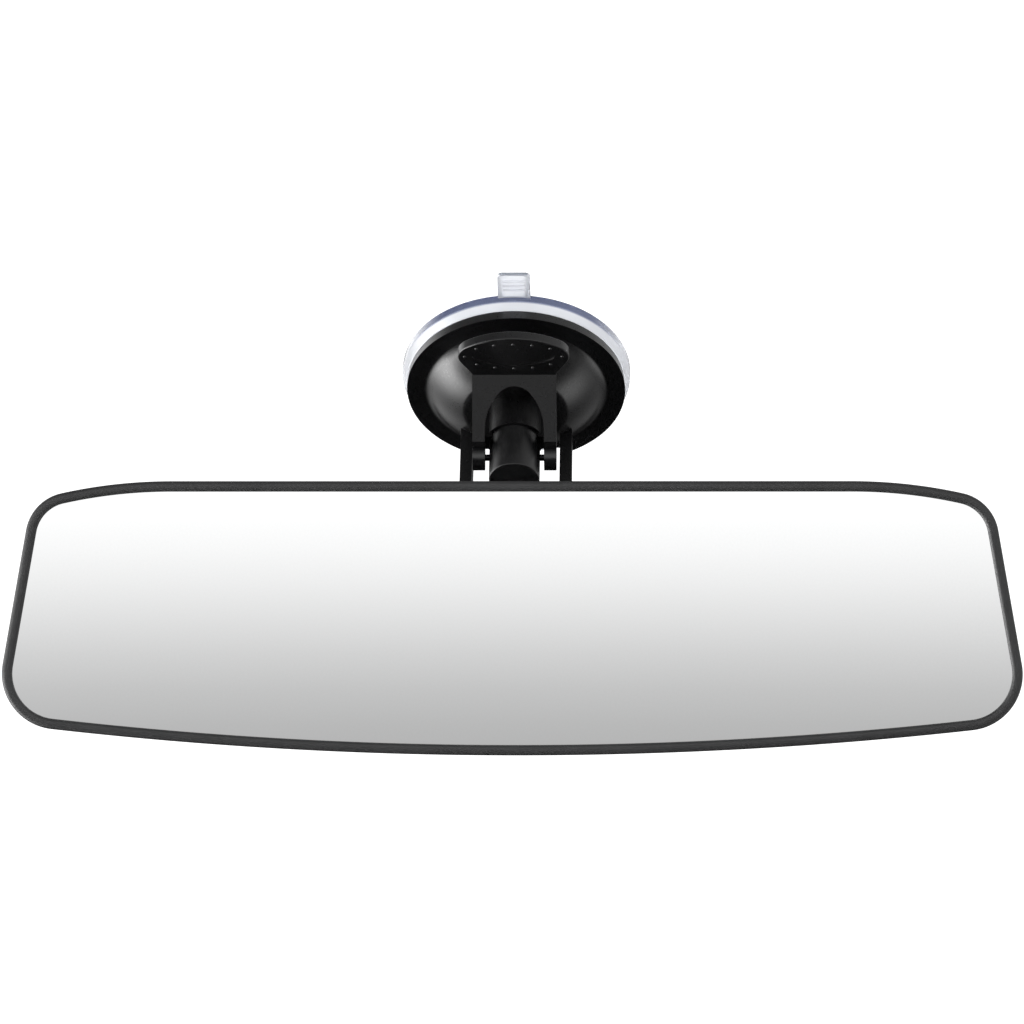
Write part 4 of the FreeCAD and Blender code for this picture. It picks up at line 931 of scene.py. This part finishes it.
# %% Camera
EYE, YAW, FOCAL = (0.036, -1.397, -0.0436), 1.5335, 159.45
lens = bpy.data.cameras.new("camera")
lens.sensor_width = 36.0
lens.lens = FOCAL
lens.clip_start = 0.05
camera = bpy.data.objects.new("camera", lens)
camera.location = EYE
camera.rotation_euler = (math.radians(90.0), 0.0, math.radians(YAW))
bpy.context.scene.collection.objects.link(camera)
bpy.context.scene.camera = camera
print("camera at", EYE, "turned by", YAW, "degrees, lens", FOCAL, "mm")

# %% [markdown]
# **Studio.** A white tent surrounds the part: matt surfaces and clear ones see white everywhere.
# Reflections show what a product studio really has round a glossy part. Behind the camera stands
# a bright wall that ends in a grey floor just below the horizon, which is what the glass shows.
# The cover looks down and behind itself, where it is dark in the middle, very bright on the left
# with a low lamp, and milder on the right. Overhead it is grey, and grows lighter with x. Each is
# a function of direction, first the wall.

# %% World: the wall behind the camera
world = bpy.data.worlds.new("studio")
world.use_nodes = True
world.cycles.sampling_method = "NONE"
bpy.context.scene.world = world
sky = world.node_tree
sky.nodes.clear()

TENT, BRIGHT_WALL = 1.35, 1.5
# Elevation in degrees and tone, from the floor to high on the wall.
WALL_TONES = [
    (-50, "#080808"),
    (-20, "#303030"),
    (-8, "#6C6C6C"),
    (-2.9, "#999999"),
    (-2.3, "#A5A5A5"),
    (-1.75, "#B4B4B4"),
    (-1.2, "#C4C4C4"),
    (-0.6, "#D3D3D3"),
    (0, "#DCDCDC"),
    (4, "#FFFFFF"),
    (20, "#FFFFFF"),
    (50, "#8C8C8C"),
]


def at(degrees):
    """Place on a ramp of an elevation in degrees: (sin e + 1) / 2."""
    return (math.sin(math.radians(degrees)) + 1) / 2


way = add(sky, "ShaderNodeTexCoord").outputs["Generated"]
toward = add(sky, "ShaderNodeSeparateXYZ", {"Vector": way})
height = add(sky, "ShaderNodeMapRange", {"Value": toward.outputs["Z"]}, {"From Min": -1.0})
wall_stops = [(at(degrees), tone) for degrees, tone in WALL_TONES]
wall_tone = add(sky, "ShaderNodeValToRGB", {"Fac": height}, stops=wall_stops)
wall = add(sky, "ShaderNodeMath", {0: wall_tone}, {1: BRIGHT_WALL}, operation="MULTIPLY")
print("tones of the wall:", len(WALL_TONES))

# %% [markdown]
# The sides depend on the compass direction, x / |(x, y)|, and fade out both straight down and
# high up. Two low lamps, each fading as the square towards its edge, make the soft highlights on
# the dome.

# %% Sides and low lamps
BRIGHT_SIDE = 2.0
# Place from the left (0) to the right (1), and tone.
SIDE_TONES = [
    (0.2, "#FFFFFF"),
    (0.25, "#F0F0F0"),
    (0.285, "#BCBCBC"),
    (0.335, "#666666"),
    (0.5, "#303030"),
    (0.6, "#3F3F3F"),
    (0.69, "#909090"),
    (0.75, "#AAAAAA"),
    (0.9, "#A2A2A2"),
    (1.0, "#B4B4B4"),
]
# Place from straight down (0) to straight up (1), and how much of the sides is left there.
BELT_TONES = [
    (0.075, "#000000"),
    (0.2, "#959595"),
    (0.275, "#CBCBCB"),
    (0.5, "#FFFFFF"),
    (0.69, "#FFFFFF"),
    (0.81, "#000000"),
]
# Direction of a lamp, how many degrees its light reaches, and its power.
LAMPS = [((-0.88, -0.25, -0.40), 40.0, 12.0), ((0.66, -0.13, -0.74), 26.0, 2.4)]
LAMP_CORE = math.cos(math.radians(4.0))

level = add(sky, "ShaderNodeCombineXYZ", {"X": toward.outputs["X"], "Y": toward.outputs["Y"]})
compass = add(sky, "ShaderNodeVectorMath", {0: level}, operation="NORMALIZE")
east = add(sky, "ShaderNodeSeparateXYZ", {"Vector": compass})
across = add(sky, "ShaderNodeMapRange", {"Value": east.outputs["X"]}, {"From Min": -1.0})
left_right = add(sky, "ShaderNodeValToRGB", {"Fac": across}, stops=SIDE_TONES)
belt = add(sky, "ShaderNodeValToRGB", {"Fac": height}, stops=BELT_TONES)
sides = add(sky, "ShaderNodeMath", {0: left_right, 1: belt}, operation="MULTIPLY")
room = add(sky, "ShaderNodeMath", {0: sides}, {1: BRIGHT_SIDE}, operation="MULTIPLY")
for aim, reach, power in LAMPS:
    nearness = add(sky, "ShaderNodeVectorMath", {0: way}, {1: aim}, operation="DOT_PRODUCT")
    fade = add(
        sky,
        "ShaderNodeMapRange",
        {"Value": nearness.outputs["Value"]},
        {"From Min": math.cos(math.radians(reach)), "From Max": LAMP_CORE},
    )
    glow = add(sky, "ShaderNodeMath", {0: fade}, {1: 2.0}, operation="POWER")
    room = add(sky, "ShaderNodeMath", {0: glow, 2: room}, {1: power}, operation="MULTIPLY_ADD")
print("low lamps:", len(LAMPS))

# %% [markdown]
# The parts are put together: overhead on top of the sides, then the wall where a direction points
# towards the camera's side. Only mirrored rays see this room. Light that passes through the clear
# pad counts as mirrored too, so it is taken off again, and sees the white tent like all the rest.

# %% Overhead, wall and tent together
up = {"From Min": 0.3, "From Max": 0.6}
above = add(sky, "ShaderNodeMapRange", {"Value": toward.outputs["Z"]}, up)
rightward = add(
    sky, "ShaderNodeMath", {0: toward.outputs["X"]}, {1: 0.35, 2: 0.36}, operation="MULTIPLY_ADD"
)
room = add(sky, "ShaderNodeMath", {0: above, 1: rightward, 2: room}, operation="MULTIPLY_ADD")
away = {"From Min": -0.85, "From Max": -0.45}
round_share = add(sky, "ShaderNodeMapRange", {"Value": toward.outputs["Y"]}, away)
strength = add(sky, "ShaderNodeMix", {0: round_share, 2: wall, 3: room})
WHITE = (1.0, 1.0, 1.0, 1.0)
lit = add(sky, "ShaderNodeBackground", {"Strength": strength}, {"Color": WHITE})
tent = add(sky, "ShaderNodeBackground", None, {"Color": WHITE, "Strength": TENT})
path = add(sky, "ShaderNodeLightPath")
mirrored = add(
    sky,
    "ShaderNodeMath",
    {0: path.outputs["Is Glossy Ray"], 1: path.outputs["Is Transmission Ray"]},
    operation="SUBTRACT",
    use_clamp=True,
)
seen = add(sky, "ShaderNodeMixShader", {0: mirrored, 1: tent, 2: lit})
add(sky, "ShaderNodeOutputWorld", {"Surface": seen})
print("nodes of the studio:", len(sky.nodes))

# %% [markdown]
# Two soft boxes shape the matt surfaces: a large one high on the left and a weak one on the
# right. The glossy surfaces don't show them.


# %% Lights
def soft_box(name, place, aim, size, power):
    """A square lamp at a place, in metres, turned so that it shines on a point."""
    light = bpy.data.lights.new(name, "AREA")
    light.shape = "SQUARE"
    light.size = size
    light.energy = power
    lamp = bpy.data.objects.new(name, light)
    x, y, z = np.array(aim) - np.array(place)
    lamp.rotation_euler = (math.acos(-z / math.hypot(x, y, z)), 0.0, -math.atan2(x, y))
    lamp.location = place
    bpy.context.scene.collection.objects.link(lamp)
    return lamp


TARGET = (0.0, -0.03, -0.04)
key = soft_box("key_soft_box", (-0.75, -0.75, 0.55), TARGET, 0.6, 7.0)
fill = soft_box("fill_soft_box", (0.8, -0.6, 0.1), TARGET, 0.5, 2.0)
key.visible_glossy = fill.visible_glossy = False
print("soft boxes:", key.name, fill.name)

# %% [markdown]
# **Floor.** A round sheet of white paper below the mirror, seen only by the camera, so that it
# changes no reflection.

# %% Floor
FLOOR_RADIUS, FLOOR_HEIGHT = 0.9, -0.2
bpy.ops.mesh.primitive_circle_add(
    vertices=96, radius=FLOOR_RADIUS, fill_type="NGON", location=(0.0, 0.0, FLOOR_HEIGHT)
)
floor = bpy.context.object
floor.name = "studio_floor"
floor.visible_glossy = False
floor.visible_diffuse = False
floor.visible_transmission = False
floor.visible_shadow = False
paper, paper_tree, paper_place = blank("matt_white_paper")
fibre = add(
    paper_tree, "ShaderNodeTexNoise", {"Vector": paper_place}, {"Scale": 400.0, "Detail": 2.0}
)
paper_tones = [(0.3, "#F2F2F2"), (0.7, "#F5F5F5")]
tone = add(paper_tree, "ShaderNodeValToRGB", {"Fac": fibre}, stops=paper_tones)
paper_shader = add(
    paper_tree,
    "ShaderNodeBsdfPrincipled",
    {"Base Color": tone},
    {"Roughness": 0.9, "Emission Color": WHITE, "Emission Strength": 0.9},
)
add(paper_tree, "ShaderNodeOutputMaterial", {"Surface": paper_shader})
floor.data.materials.append(paper)
print("floor:", floor.name, "radius", FLOOR_RADIUS, "m")

bpy.context.scene.view_settings.view_transform = "Standard"
bpy.context.scene.view_settings.look = "None"
